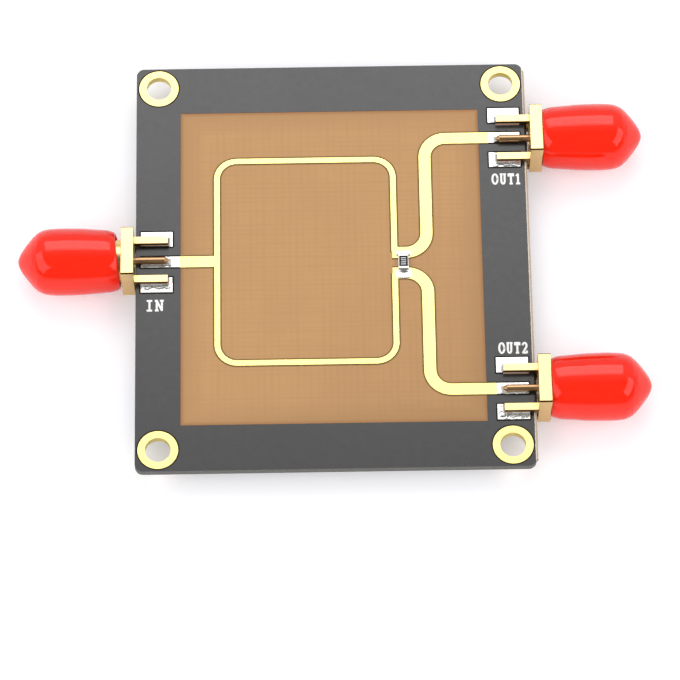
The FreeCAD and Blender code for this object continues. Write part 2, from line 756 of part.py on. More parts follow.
def dust_cap(port):
    """Soft push-on cap: a bellied sleeve with a blunt conical nose."""
    body = doc.addObject("PartDesign::Body", f"cap_{port}")
    mouth = f"({of('flange_thickness')} + {of('cap_stand_off_' + port)})"
    bore = CAP_BORE_RADIUS
    lip = f"({bore} + {of('cap_mouth_wall')})"
    belly = CAP_BELLY_RADIUS
    belly_at = f"({mouth} + {of('cap_belly_start')})"
    shoulder_at = f"({mouth} + {of('barrel_length')} + {of('cap_shoulder_offset')})"
    nose_at = f"({mouth} + {of('barrel_length')} + {of('cap_nose_length')})"
    nose = f"{of('cap_nose_diameter')} / 2"
    outer = [
        (mouth, "0"),
        (mouth, lip),
        (belly_at, belly),
        (shoulder_at, belly),
        (nose_at, nose),
        (nose_at, "0"),
    ]
    blank = revolve(body, f"cap_turned_{port}", outline(body, f"cap_profile_{port}", "XY_Plane", [outer]))
    rounded = (
        ("shoulder", shoulder_at, belly, "cap_shoulder_radius"),
        ("nose", nose_at, nose, "cap_nose_radius"),
        ("lip", mouth, lip, "cap_lip_radius"),
    )
    for edge_name, position, radius, alias in rounded:
        place = value(position)
        size = value(radius)
        blank = round_edges(body, f"cap_{edge_name}_{port}", blank, of(alias),
                            lambda edge: is_circle(edge, place, size))
    hollow_at = f"({mouth} + {of('barrel_length')} + {of('cap_end_clearance')})"
    hollow_end = f"({nose_at} - {of('cap_nose_wall')})"
    hollow = [
        (mouth, "0"),
        (mouth, bore),
        (hollow_at, bore),
        (hollow_end, f"{of('cap_hollow_diameter')} / 2"),
        (hollow_end, "0"),
    ]
    hollow_sketch = outline(body, f"cap_hollow_profile_{port}", "XY_Plane", [hollow])
    revolve(body, f"cap_hollow_{port}", hollow_sketch, "PartDesign::Groove")
    seat(body, port)
    keep(body, f"dust_cap_{port}")


def check_model():
    """Stop on a failed object, or on a sub-part with a missing or broken shape."""
    for item in doc.Objects:
        if "Invalid" in item.State or "Error" in item.State:
            raise RuntimeError(f"{item.Name} ({item.Label}) did not rebuild: {item.State}")
    for node in nodes:
        if node.Shape.isNull() or not node.Shape.isValid() or not node.Shape.Solids:
            raise RuntimeError(f"{node.Label} has no valid solid")


laminate_board()
ground_plane()
top_solder_mask()
bottom_solder_mask()
hole_plating()
divider_track()
ground_pads()
chip_resistor()
for port_name in PORTS:
    connector_shell(port_name)
    insulator(port_name)
    centre_contact(port_name)
    port_solder(port_name)
    dust_cap(port_name)
doc.recompute()
check_model()

os.makedirs("parts", exist_ok=True)
for node in nodes:
    node.Shape.exportStep(f"parts/{node.Label}.step")
    box = node.Shape.BoundBox
    print(f"{node.Label:24s} solids {len(node.Shape.Solids)} volume {node.Shape.Volume:9.4f}"
          f" x {box.XMin:.2f}..{box.XMax:.2f} y {box.YMin:.2f}..{box.YMax:.2f}"
          f" z {box.ZMin:.2f}..{box.ZMax:.2f}")
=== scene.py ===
"""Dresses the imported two-way power splitter and sets up its studio.

Surfaces are worked out with numpy from the frame's own boxes and a few sizes in millimetres.
"""
import math

import bmesh
import bpy
import numpy as np
from bpy.props import FloatProperty, FloatVectorProperty, PointerProperty
from mathutils import Matrix, Vector


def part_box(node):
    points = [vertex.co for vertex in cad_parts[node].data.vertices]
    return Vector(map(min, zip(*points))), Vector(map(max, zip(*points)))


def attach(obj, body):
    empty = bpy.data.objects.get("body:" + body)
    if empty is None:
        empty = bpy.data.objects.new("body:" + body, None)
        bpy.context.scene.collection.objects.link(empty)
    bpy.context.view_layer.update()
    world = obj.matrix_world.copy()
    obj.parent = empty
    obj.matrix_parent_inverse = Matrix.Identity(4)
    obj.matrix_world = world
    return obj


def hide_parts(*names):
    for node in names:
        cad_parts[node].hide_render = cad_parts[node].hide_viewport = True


bl_info = {
    "name": "Power Splitter Dressing",
    "version": (1, 0, 0),
    "blender": (4, 5, 0),
    "location": "3D View > Sidebar > Splitter",
    "description": "Finishes, tracks, solder, jacks, caps and studio of a two-way power splitter",
    "category": "Object",
}

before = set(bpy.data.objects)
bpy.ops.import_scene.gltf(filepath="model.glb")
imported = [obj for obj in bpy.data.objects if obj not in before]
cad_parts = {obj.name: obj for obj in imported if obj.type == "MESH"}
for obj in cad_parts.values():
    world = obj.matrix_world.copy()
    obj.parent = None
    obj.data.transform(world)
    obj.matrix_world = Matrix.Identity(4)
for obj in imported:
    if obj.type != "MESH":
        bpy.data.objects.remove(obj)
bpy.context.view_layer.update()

MM = 0.001
BOARD_BODY = "board_assembly"

# Each port, and the side of the board along X that its jack faces.
PORTS = {"in": -1, "out1": 1, "out2": 1}

# Sizes in millimetres that several pieces share. A jack's reach runs from the flange's board
# side to the barrel's end, and its legs and pin run the other way, over the board.
JACK_REACH = 10.95
LEG_LENGTH = 4.25
PIN_LENGTH = 4.35
PAD_LENGTH = 4.0
PAD_WIDTH = 2.1
RING_RADIUS = 2.5
FEED_Y = 0.48
OUTPUT_MIDDLE = -0.08
RESISTOR_GAP = 1.33


def box_of(node):
    """A node's lowest and highest corners in millimetres."""
    low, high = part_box(node)
    return low / MM, high / MM


BOARD_LOW, BOARD_HIGH = box_of("laminate_board")
BOARD_X = (BOARD_LOW.x + BOARD_HIGH.x) / 2
LAMINATE_TOP = BOARD_HIGH.z
MASK_TOP = box_of("top_solder_mask")[1].z
COPPER_TOP = box_of("divider_track")[1].z
COPPER_FOOT = box_of("ground_plane")[0].z
# The bare window's left, right, front and back sides: the board's, less the mask's borders.
WINDOW = (BOARD_LOW.x + 5.6, BOARD_HIGH.x - 5.85, BOARD_LOW.y + 6.0, BOARD_HIGH.y - 6.4)


def jack_origin(port):
    """Where the flange's board side crosses the jack's axis: the barrel's end less its reach."""
    low, high = box_of(f"connector_shell_{port}")
    x = low.x + JACK_REACH if PORTS[port] < 0 else high.x - JACK_REACH
    return x, (low.y + high.y) / 2, (low.z + high.z) / 2


def output_places():
    """How far along the right edge each output jack sits."""
    return [jack_origin(port)[1] for port, side in PORTS.items() if side > 0]


def linear(code):
    """An sRGB hex colour as linear red, green, blue and alpha."""
    parts = np.array([int(code[at:at + 2], 16) for at in (1, 3, 5)]) / 255
    low = parts / 12.92
    high = ((parts + 0.055) / 1.055) ** 2.4
    return tuple(np.where(parts <= 0.04045, low, high)) + (1.0,)


def swatch(name, description, code):
    """A colour property whose default is an sRGB hex colour."""
    return FloatVectorProperty(name=name, description=description, subtype="COLOR", size=4,
                               min=0, max=1, default=linear(code))


def millimetres(name, description, default):
    """A size property given in millimetres."""
    return FloatProperty(name=name, description=description, default=default, min=0, precision=3)


def brightness(name, description, default):
    """A level property, where 1 lights a white surface to white."""
    return FloatProperty(name=name, description=description, default=default, min=0)


class SplitterBoard(bpy.types.PropertyGroup):
    """Sizes and colours of the etched board and its solder."""

    track_width: millimetres("Track width", "Width of the wide tracks, mm", 1.5)
    arm_width: millimetres("Arm width", "Width of the ring's narrow arms, mm", 0.72)
    flank: millimetres("Track flank", "Width of an etched track's sloping side, mm", 0.11)
    track_bend: millimetres("Track bend", "Radius of a wide track's bends, mm", 2.65)
    arm_bend: millimetres("Arm bend", "Radius of the ring's corners, mm", 2.5)
    ring_span_x: millimetres("Ring width", "Between the ring's left and right arms, mm", 22.2)
    ring_span_y: millimetres("Ring depth", "Between the ring's front and back arms, mm", 27.8)
    ring_right: millimetres("Ring's right arm", "From the board's middle, mm", 7.78)
    column: millimetres("Output column", "From the board's middle, mm", 11.85)
    cloth_pitch: millimetres("Cloth pitch", "Spacing of the glass cloth's yarns, mm", 0.82)
    fillet_height: millimetres("Fillet height", "Solder's rise beside a leg, mm", 0.42)
    letter_height: millimetres("Letter height", "Height of the port lettering, mm", 1.56)
    word_width: millimetres("Word width", "The most that a port's word takes up, mm", 3.5)
    margin: millimetres("Margin", "Painted shade on the laminate beside a track, mm", 0.09)
    leg_sheet_height: millimetres("Leg sheet", "Height of the sheet painted as the lit pad's reflection on a leg's near side, mm", 0.42)
    routed_edge: millimetres("Routed edge", "Fibres past the right edge of the mask, mm", 0.25)
    mask_colour: swatch("Solder mask", "Black mask over the copper and laminate", "#343434")
    laminate_colour: swatch("Laminate", "Bare laminate in the window", "#be9262")
    gold_colour: swatch("Gold", "Immersion gold on the tracks", "#f6e08e")
    tin_colour: swatch("Solder", "Bright tin solder", "#f2f1ee")
    ink_colour: swatch("Ink", "White port lettering", "#f4f4f2")
    fibre_colour: swatch("Fibres", "Torn glass fibres of the routed edge", "#c4b299")


class SplitterJacks(bpy.types.PropertyGroup):
    """Sizes and colours of the three edge jacks."""

    flange: millimetres("Flange", "Side of the square flange, mm", 6.5)
    flange_thick: millimetres("Flange thickness", "Along the jack's axis, mm", 1.52)
    flange_back: millimetres("Flange overlap", "Reach towards the board, mm", 0.08)
    chamfer: millimetres("Flange chamfer", "On the square's four edges, mm", 0.17)
    bore: millimetres("Bore", "Radius of the shell's bore, mm", 2.055)
    neck: millimetres("Neck", "Radius of the neck behind the thread, mm", 2.65)
    neck_long: millimetres("Neck length", "From the flange to the thread, mm", 1.2)
    thread: millimetres("Thread", "Outer radius of the thread, mm", 3.175)
    pitch: millimetres("Pitch", "From one turn of the thread to the next, mm", 0.7056)
    depth: millimetres("Thread depth", "From crest to root, mm", 0.36)
    mouth: millimetres("Mouth", "Radius of the shell's mouth, mm", 2.3)
    mouth_deep: millimetres("Mouth depth", "From the end to the insulator, mm", 1.9)
    leg_pitch: millimetres("Leg pitch", "Between the middles of two legs, mm", 5.3)
    leg_wide: millimetres("Leg width", "Across one leg, mm", 1.0)
    shell_colour: swatch("Shell", "Gold plated brass", "#f6d595")
    contact_colour: swatch("Contact", "Gold plated contact", "#c79f76")
    leg_shade_colour: swatch("Leg shade", "Gold darkened as painted shade on the legs' sides", "#86683f")
    bead_colour: swatch("Insulator", "White PTFE", "#f3f2ec")


class SplitterCaps(bpy.types.PropertyGroup):
    """Sizes and colour of the push-on dust caps."""

    belly: millimetres("Belly", "Greatest outer radius of the measured outline, mm", 4.165)
    inside: millimetres("Inner radius", "Of the cap's hollow, mm", 3.225)
    seat: millimetres("Seat", "From the cap's mouth to the end of its wide hollow, mm", 9.3)
    ripple: millimetres("Mouth ripple", "How far the cut mouth wanders, mm", 0.27)
    vinyl_colour: swatch("Vinyl", "Red dipped vinyl", "#ff2810")


class SplitterStage(bpy.types.PropertyGroup):
    """Floor, lamps and the camera's place."""

    lens: FloatProperty(name="Lens", description="Focal length on a 36 mm frame, mm",
                        default=207.265, min=1)
    place: FloatVectorProperty(name="Camera place", description="In the part's frame, mm",
                               size=3, default=(-1.2726, -206.553, 447.567))
    turn: FloatVectorProperty(name="Camera turn", description="About X, Y and Z, degrees",
                              size=3, default=(-23.83, 0.26, 0.98))
    floor_colour: swatch("Floor", "White paper floor", "#e6e6e8")
    back_level: brightness("Back softbox", "Its brightness", 2.1)
    foot_level: brightness("Foot of the back softbox", "Its brightness", 1.3)
    left_level: brightness("Left softbox", "Its brightness", 1.5)
    right_level: brightness("Right softbox", "Its brightness", 1.8)
    room_level: brightness("Room", "Level of its soft light, at the back", 0.38)
    fill_level: brightness("Fill", "Level of its soft light, at the front", 0.85)
    front_level: brightness("Front of the room", "Seen in reflections", 0.15)
    rear_level: brightness("Back of the room", "Seen in reflections", 0.7)


def fitted(node, given):
    """Sets a node's properties and inputs by name or number, links an input where another
    node's output is given, and returns the node's outputs."""
    for key, value in given.items():
        if isinstance(value, bpy.types.NodeSocket):
            node.id_data.links.new(value, node.inputs[key])
        elif isinstance(key, str) and hasattr(node, key):
            setattr(node, key, value)
        else:
            node.inputs[key].default_value = value
    return node.outputs


def add_node(tree, kind, given=None):
    """Adds a node with its settings and links, and returns its outputs."""
    return fitted(tree.nodes.new(kind), given or {})


def span(value, low, high, first, last):
    """What a Map Range node is given: as the value goes from low to high, the result goes from
    first to last."""
    return {"Value": value, "From Min": low, "From Max": high, "To Min": first, "To Max": last}


def finish_named(name):
    """A new node material with its tree and its Principled shader."""
    material = bpy.data.materials.new(name)
    material.use_nodes = True
    return material, material.node_tree, material.node_tree.nodes["Principled BSDF"]


def shade(colour, factor):
    """A colour made darker or lighter by a factor."""
    return tuple(min(part * factor, 1.0) for part in colour[:3]) + (1.0,)


def mottled(tree, grain, detail=3.0):
    """Noise in object space, 0 to 1, whose patches are grain millimetres across."""
    place = add_node(tree, "ShaderNodeTexCoord")["Object"]
    return add_node(tree, "ShaderNodeTexNoise", {"Vector": place, "Scale": 1 / (grain * MM),
                                                 "Detail": detail, "Roughness": 0.55})["Fac"]


def layered(tree, colour, *layers):
    """A colour with others laid over it in turn, each as far as its own factor, 0 to 1."""
    for factor, over in layers:
        colour = add_node(tree, "ShaderNodeMix",
                          {"data_type": "RGBA", 0: factor, 6: colour, 7: over})[2]
    return colour


def inside_of(tree, value, low, high):
    """1 where a place is between two levels in millimetres, and 0 outside them."""
    above = add_node(tree, "ShaderNodeMath", {"operation": "GREATER_THAN", 0: value, 1: low * MM})
    below = add_node(tree, "ShaderNodeMath", {"operation": "LESS_THAN", 0: value, 1: high * MM})
    return add_node(tree, "ShaderNodeMath", {"operation": "MULTIPLY", 0: above[0], 1: below[0]})[0]


def toned(tree, colour, place, low, high, first, last):
    """A colour multiplied by a factor that runs from first to last between two places in
    millimetres."""
    factor = add_node(tree, "ShaderNodeMapRange", span(place, low * MM, high * MM, first, last))
    return add_node(tree, "ShaderNodeMix", {"data_type": "RGBA", "blend_type": "MULTIPLY",
                                            0: 1.0, 6: colour, 7: factor[0]})[2]


def solder_mask_finish(board):
    """Photo-cured black epoxy mask over glass cloth: a soft sheen, faint orange peel, and the
    pale dust of the cut laminate along the routed right edge, left out beside the output jacks as
    painted shade."""
    material, tree, shader = finish_named("black_solder_mask")
    peel = mottled(tree, 0.9)
    place = add_node(tree, "ShaderNodeTexCoord")["Object"]
    axes = add_node(tree, "ShaderNodeSeparateXYZ", {0: place})
    tint = layered(tree, shade(board.mask_colour, 0.85),
                   (mottled(tree, 9.0, 2.0), shade(board.mask_colour, 1.15)))
    # Painted shade: the mask's colour is darker towards the front and lighter at the back.
    tint = toned(tree, tint, axes["Y"], -26, 26, 0.5, 1.2)
    # The dust's border wanders by up to 0.14 mm, and beside each jack it is left out, so the mask
    # stays dark there as painted shade of the jack.
    ragged = add_node(tree, "ShaderNodeMath", {"operation": "MULTIPLY_ADD",
                                               0: mottled(tree, 0.35), 1: 0.14 * MM, 2: axes["X"]})
    dusty = add_node(tree, "ShaderNodeMapRange",
                     span(ragged[0], (BOARD_HIGH.x - 0.055) * MM, (BOARD_HIGH.x - 0.02) * MM, 0, 1))
    jack_shade_reach = 3.0
    dark_by_jacks = [(inside_of(tree, axes["Y"], y - jack_shade_reach, y + jack_shade_reach), tint) for y in output_places()]
    gloss = add_node(tree, "ShaderNodeMapRange", span(peel, 0.3, 0.7, 0.26, 0.32))
    bump = add_node(tree, "ShaderNodeBump",
                    {"Height": peel, "Strength": 0.12, "Distance": 0.004 * MM})
    fitted(shader, {"Base Color": layered(tree, tint, (dusty[0], linear("#d5c9ba")), *dark_by_jacks),
                    "Roughness": gloss[0], "IOR": 1.55, "Normal": bump[0]})
    return material


def laminate_finish(board):
    """Glass-fibre and epoxy laminate: woven yarns show as crossing bands in the bare window,
    milled edges are a pale fuzzy grey, and the rest under the mask is painted near-black as shade
    in the mask's openings."""
    material, tree, shader = finish_named("glass_fibre_laminate")
    place = add_node(tree, "ShaderNodeTexCoord")["Object"]
    axes = add_node(tree, "ShaderNodeSeparateXYZ", {0: place})
    yarns = []
    for direction, pitch, drawn in (("X", board.cloth_pitch, (1.0, 0.05, 1.0)),
                                    ("Y", board.cloth_pitch * 0.78, (0.05, 1.0, 1.0))):
        # A wave texture's period is 2 pi / 20 over its scale.
        wave = add_node(tree, "ShaderNodeTexWave",
                        {"Vector": place, "bands_direction": direction,
                         "Scale": 0.314159 / (pitch * MM), "Distortion": 0.8, "Detail": 2.0,
                         "Detail Scale": 0.6})
        # Each yarn shows through the resin on some stretches only.
        along = add_node(tree, "ShaderNodeMapping", {"Vector": place, "Scale": drawn})
        streak = add_node(tree, "ShaderNodeTexNoise",
                          {"Vector": along[0], "Scale": 1 / (0.7 * MM), "Detail": 2.0})
        shown = add_node(tree, "ShaderNodeMapRange", span(streak["Fac"], 0.38, 0.64, 0.05, 1.0))
        yarns.append(add_node(tree, "ShaderNodeMath", {"operation": "MULTIPLY",
                                                       0: wave["Fac"], 1: shown[0]})[0])
    cloth = add_node(tree, "ShaderNodeMath", {"operation": "ADD", 0: yarns[0], 1: yarns[1]})[0]
    left, right, front, back = WINDOW
    nearest = None
    for axis, level, sign in (("X", left, 1), ("X", right, -1), ("Y", front, 1), ("Y", back, -1)):
        inwards = add_node(tree, "ShaderNodeMath", {"operation": "MULTIPLY_ADD", 0: axes[axis],
                                                    1: sign, 2: -sign * level * MM})[0]
        nearest = inwards if nearest is None else add_node(
            tree, "ShaderNodeMath", {"operation": "MINIMUM", 0: nearest, 1: inwards})[0]
    bare = add_node(tree, "ShaderNodeMath",
                    {"operation": "MULTIPLY", 0: inside_of(tree, axes["X"], left, right),
                     1: inside_of(tree, axes["Y"], front, back)})[0]
    base = board.laminate_colour
    pooled = add_node(tree, "ShaderNodeMapRange",
                      span(mottled(tree, 5.0, 2.0), 0.35, 0.65, 0, 0.35))
    # Painted shade: the bare window darkens towards the mask's edge, fading inwards over about 3
    # mm.
    rim_shade = add_node(tree, "ShaderNodeMapRange", span(nearest, 0.4 * MM, 3.2 * MM, 0.85, 0))
    resin = layered(tree, shade(base, 1.015), (cloth, shade(base, 0.945)),
                    (pooled[0], shade(base, 0.9)), (rim_shade[0], shade(base, 0.84)))
    # Painted shade: the bare window darkens towards the near right corner.
    corner = add_node(tree, "ShaderNodeMath", {"operation": "SUBTRACT", 0: axes["X"], 1: axes["Y"]})
    resin = toned(tree, resin, corner[0], 4, 42, 1.0, 0.86)
    past_rim = add_node(tree, "ShaderNodeMapRange", span(nearest, 0.1 * MM, 0.5 * MM, 0, 1))
    # Painted shade: outside the window the laminate is near-black, so the mask's openings round
    # pads and rings show dark as shaded recesses.
    upper = layered(tree, linear("#14110d"),
                    (bare, layered(tree, linear("#a3744a"), (past_rim[0], resin))))
    milled = layered(tree, linear("#5b5a56"), (mottled(tree, 0.3), linear("#86847d")))
    on_top = add_node(tree, "ShaderNodeMapRange",
                      span(axes["Z"], (LAMINATE_TOP - 0.03) * MM, (LAMINATE_TOP - 0.01) * MM, 0, 1))
    dull = add_node(tree, "ShaderNodeMapRange", span(bare, 0, 1, 0.95, 0.46))
    bump = add_node(tree, "ShaderNodeBump",
                    {"Height": cloth, "Strength": 0.12, "Distance": 0.005 * MM})
    fitted(shader, {"Base Color": layered(tree, milled, (on_top[0], upper)), "Roughness": dull[0],
                    "IOR": 1.55, "Specular IOR Level": 0.2, "Normal": bump[0]})
    return material


def grained_finish(name, colour, shades, grain, rough, relief, given):
    """A surface over noise of a real grain: its colour runs between two shades of one, its
    roughness between two levels, and its bump has a strength, a height in millimetres and, where
    it differs, a grain of its own. The rest is given to the shader as it is."""
    material, tree, shader = finish_named(name)
    grainy = mottled(tree, *grain)
    strength, height, *own_grain = relief
    bumpy = mottled(tree, *own_grain) if own_grain else grainy
    bump = add_node(tree, "ShaderNodeBump",
                    {"Height": bumpy, "Strength": strength, "Distance": height * MM})
    fitted(shader, {"Base Color": layered(tree, shade(colour, shades[0]),
                                          (grainy, shade(colour, shades[1]))),
                    "Normal": bump[0], **given})
    if rough:
        gloss = add_node(tree, "ShaderNodeMapRange", span(grainy, 0.3, 0.7, *rough))
        fitted(shader, {"Roughness": gloss[0]})
    return material


def plated_gold_finish(name, colour, rough=0.3, grain=1.2, spread=0.1, bump=0.002):
    """Gold plate: a warm metal whose sheen varies a little with the plating's grain."""
    return grained_finish(name, colour, (1 - spread, 1 + spread), (grain,),
                          (rough * 0.85, rough * 1.15), (0.3, bump, 0.12), {"Metallic": 1.0})


def solder_finish(board):
    """Reflowed tin solder: bright, with a frosted skin and a few flow lines."""
    return grained_finish("reflowed_tin_solder", board.tin_colour, (0.96, 1.0), (0.5,),
                          (0.16, 0.26), (0.3, 0.012, 0.6, 2.0), {"Metallic": 1.0})


def speckled_finish(name, colour, rough, grain, ior):
    """Cast, cut, fired or printed surface: an even colour with faint speckle and a fine
    texture."""
    return grained_finish(name, colour, (0.94, 1.04), (grain,), (rough * 0.9, rough * 1.1),
                          (0.2, 0.006), {"IOR": ior})


def vinyl_finish(caps):
    """Dip-moulded red vinyl: glossy, soft and a little translucent, so its rims glow pink."""
    return grained_finish("red_dipped_vinyl", caps.vinyl_colour, (0.95, 1.0), (4.0, 2.0), None,
                          (0.3, 0.05),
                          {"Roughness": 0.05, "IOR": 1.45, "Subsurface Weight": 0.35,
                           "Subsurface Radius": (1.0, 0.12, 0.08),
                           "Subsurface Scale": 1.2 * MM})


def coated(node, material):
    """Puts a material on a carried-over node."""
    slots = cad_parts[node].data.materials
    slots.clear()
    slots.append(material)


def grid_quads(rows, columns, wrap_rows, wrap_columns):
    """Corner numbers of a grid's quads, joined round where a direction wraps."""
    row, column = np.meshgrid(np.arange(rows if wrap_rows else rows - 1),
                              np.arange(columns if wrap_columns else columns - 1), indexing="ij")
    next_row = (row + 1) % rows
    next_column = (column + 1) % columns
    corners = [row * columns + column, row * columns + next_column,
               next_row * columns + next_column, next_row * columns + column]
    return np.stack(corners, axis=-1).reshape(-1, 4)


def enclosed(points, quads):
    """Six times the volume inside quads, from the tetrahedra over their two triangles."""
    a, b, c, d = (points[quads[:, corner]] for corner in range(4))
    first = np.einsum("ij,ij->i", a, np.cross(b, c))
    second = np.einsum("ij,ij->i", a, np.cross(c, d))
    return (first + second).sum()


def piece(name, patches, materials, body, stands_for=(), sharp=38):
    """Makes one object of closed patches, each a list of (points on a grid in millimetres,
    wrap rows, wrap columns, material number or one number for each quad). Grids of one patch
    share their rims, and the patch is turned so that its faces point outwards. Edges bent
    by more than sharp degrees stay sharp."""
    all_points, all_quads, all_numbers = [], [], []
    count = 0
    for patch in patches:
        points = np.concatenate([grid.reshape(-1, 3) for grid, *rest in patch])
        quads, numbers, start = [], [], 0
        for grid, wrap_rows, wrap_columns, number in patch:
            found = grid_quads(*grid.shape[:2], wrap_rows, wrap_columns) + start
            quads.append(found)
            numbers.append(np.broadcast_to(np.ravel(number), len(found)))
            start += grid.shape[0] * grid.shape[1]
        quads = np.concatenate(quads)
        if enclosed(points - points.mean(axis=0), quads) < 0:
            quads = quads[:, ::-1]
        all_points.append(points)
        all_quads.append(quads + count)
        all_numbers.append(np.concatenate(numbers))
        count += len(points)
    points = np.concatenate(all_points) * MM
    quads = np.concatenate(all_quads)
    mesh = bpy.data.meshes.new(name)
    mesh.vertices.add(len(points))
    mesh.vertices.foreach_set("co", points.ravel())
    mesh.loops.add(quads.size)
    mesh.loops.foreach_set("vertex_index", quads.ravel())
    mesh.polygons.add(len(quads))
    mesh.polygons.foreach_set("loop_start", np.arange(0, quads.size, 4))
    mesh.polygons.foreach_set("material_index", np.concatenate(all_numbers))
    mesh.polygons.foreach_set("use_smooth", np.ones(len(quads), dtype=bool))
    mesh.update(calc_edges=True)
    for material in materials:
        mesh.materials.append(material)
    merged = bmesh.new()
    merged.from_mesh(mesh)
    bmesh.ops.remove_doubles(merged, verts=merged.verts, dist=0.00005 * MM)
    merged.to_mesh(mesh)
    merged.free()
    mesh.set_sharp_from_angle(angle=math.radians(sharp))
    made = bpy.data.objects.new(name, mesh)
    bpy.context.scene.collection.objects.link(made)
    # Flats beside small bevels keep level normals.
    made.modifiers.new("level_flats", "WEIGHTED_NORMAL").keep_sharp = True
    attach(made, body)
    if stands_for:
        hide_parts(*stands_for)


def rounded_line(corners, radius, steps=14):
    """A centre line through square corners, each rounded by a quarter arc:
    point = corner - u r + w r - w r cos t + u r sin t, where u comes in and w goes out.
    Returns the points and the unit normals to their left."""
    corners = np.asarray(corners, dtype=float)
    runs = np.diff(corners, axis=0)
    runs /= np.linalg.norm(runs, axis=1, keepdims=True)
    u, w = runs[:-1, None, :], runs[1:, None, :]
    t = np.linspace(0, math.pi / 2, steps)[None, :, None]
    turn = corners[1:-1, None, :]
    arcs = turn + radius * (-u + w - w * np.cos(t) + u * np.sin(t))
    ways = w * np.sin(t) + u * np.cos(t)
    points = np.concatenate([corners[:1], arcs.reshape(-1, 2), corners[-1:]])
    ways = np.concatenate([runs[:1], ways.reshape(-1, 2), runs[-1:]])
    return points, np.stack([-ways[:, 1], ways[:, 0]], axis=1)


def etched_strip(line, normals, width, flank, foot, top, flank_number=0):
    """A track: a trapezoid with sloping flanks carried along a line, its ends drawn in. Its
    top is as wide as asked. Returns two grids, flanks with the foot and the top."""
    half = width / 2 + flank
    along = np.diff(line, axis=0)
    lengths = np.linalg.norm(along, axis=1, keepdims=True)
    start, finish = -along[0] / lengths[0], along[-1] / lengths[-1]
    line = np.concatenate([line[:1], line[:1] - start * flank, line[1:-1],
                           line[-1:] - finish * flank, line[-1:]])
    normals = np.concatenate([normals[:1], normals[:1], normals[1:-1], normals[-1:], normals[-1:]])
    rise = np.ones(len(line))
    rise[[0, -1]] = 0.0
    low = np.concatenate([line, np.full((len(line), 1), foot)], axis=1)
    level = foot + (top - foot) * rise
    high = np.concatenate([line, level[:, None]], axis=1)
    sideways = np.concatenate([normals, np.zeros((len(line), 1))], axis=1)
    inner = (half - flank * rise)[:, None]
    left_foot, right_foot = low + sideways * half, low - sideways * half
    left_top, right_top = high + sideways * inner, high - sideways * inner
    flanks = np.stack([left_top, left_foot, low, right_foot, right_top], axis=1)
    crown = np.stack([right_top, high, left_top], axis=1)
    return [(flanks, False, False, flank_number), (crown, False, False, 0)]


def slab_loop(half_a, half_b, corner, inset, steps=5, straight=False):
    """Outline of a rounded rectangle drawn in by an inset: corner arcs shrink to their centres
    first, and the centres then move in towards the middle. Straight corners are chamfers."""
    arc = max(corner - inset, 0.0)
    deeper = max(inset - corner, 0.0)
    reach_a = max(half_a - corner - deeper, 0.0)
    reach_b = max(half_b - corner - deeper, 0.0)
    quarter = np.linspace(0, math.pi / 2, steps)
    angles = (quarter[None, :] + np.arange(4)[:, None] * math.pi / 2)
    signs = np.array([[1, 1], [-1, 1], [-1, -1], [1, -1]])
    round_a, round_b = np.cos(angles), np.sin(angles)
    if straight:
        reach = np.abs(round_a) + np.abs(round_b)
        round_a, round_b = round_a / reach, round_b / reach
    a = signs[:, :1] * reach_a + arc * round_a
    b = signs[:, 1:] * reach_b + arc * round_b
    return np.stack([a.ravel(), b.ravel()], axis=1)


def rounded_rim(edge, steps):
    """How far the outline comes in and goes up along a rim's quarter arc of radius edge."""
    quarter = np.linspace(0, math.pi / 2, steps)
    return edge * (1 - np.sin(quarter)), edge * (1 - np.cos(quarter))


def rounded_slab(half_a, half_b, low, high, corner, edge):
    """A block with rounded upright corners and rounded rims: outlines drawn in along the rim's
    quarter arcs, closed to the middle at both ends. Returned with its thickness third."""
    rim_in, rim_up = rounded_rim(edge, 5)
    least = min(half_a, half_b)
    insets = np.concatenate([[least], rim_in, rim_in[::-1], [least]])
    levels = np.concatenate([[low], low + rim_up, high - rim_up[::-1], [high]])
    loops = np.stack([slab_loop(half_a, half_b, corner, inset) for inset in insets])
    heights = np.broadcast_to(levels[:, None, None], loops.shape[:2] + (1,))
    return np.concatenate([loops, heights], axis=2)


def slab_at(x, y, *sizes, number=0):
    """A rounded slab with its middle over a place on the board, as a patch of one material."""
    return [(rounded_slab(*sizes) + np.array([x, y, 0.0]), False, True, number)]


def turned(profile, columns, shape_of):
    """A profile of (along, radius) turned about its axis, with its angle as second parameter.
    shape_of changes along and radius by place and angle."""
    angle = np.linspace(0, 2 * math.pi, columns, endpoint=False)[None, :]
    along = np.broadcast_to(profile[:, :1], (len(profile), columns))
    radius = np.broadcast_to(profile[:, 1:2], along.shape)
    along, radius = shape_of(along, radius, angle)
    return np.stack([along, radius * np.cos(angle), radius * np.sin(angle)], axis=2)


def seated(grid, port, outwards=0.0):
    """A grid in a jack's own frame, X outwards from the flange, moved to its port."""
    moved = grid + np.array([outwards, 0.0, 0.0])
    return moved * np.array([PORTS[port], 1.0, 1.0]) + np.array(jack_origin(port))


def smooth_through(points, steps=6):
    """A Catmull-Rom line through points: each span is a cubic whose end slopes are half the
    difference of the neighbours."""
    points = np.asarray(points, dtype=float)
    ends = np.concatenate([2 * points[:1] - points[1:2], points, 2 * points[-1:] - points[-2:-1]])
    a, b, c, d = (ends[at:len(ends) - 3 + at, None, :] for at in range(4))
    t = np.linspace(0, 1, steps, endpoint=False)[None, :, None]
    curve = 0.5 * (2 * b + (c - a) * t + (2 * a - 5 * b + 4 * c - d) * t ** 2
                   + (3 * b - a - 3 * c + d) * t ** 3)
    return np.concatenate([curve.reshape(-1, points.shape[1]), points[-1:]])


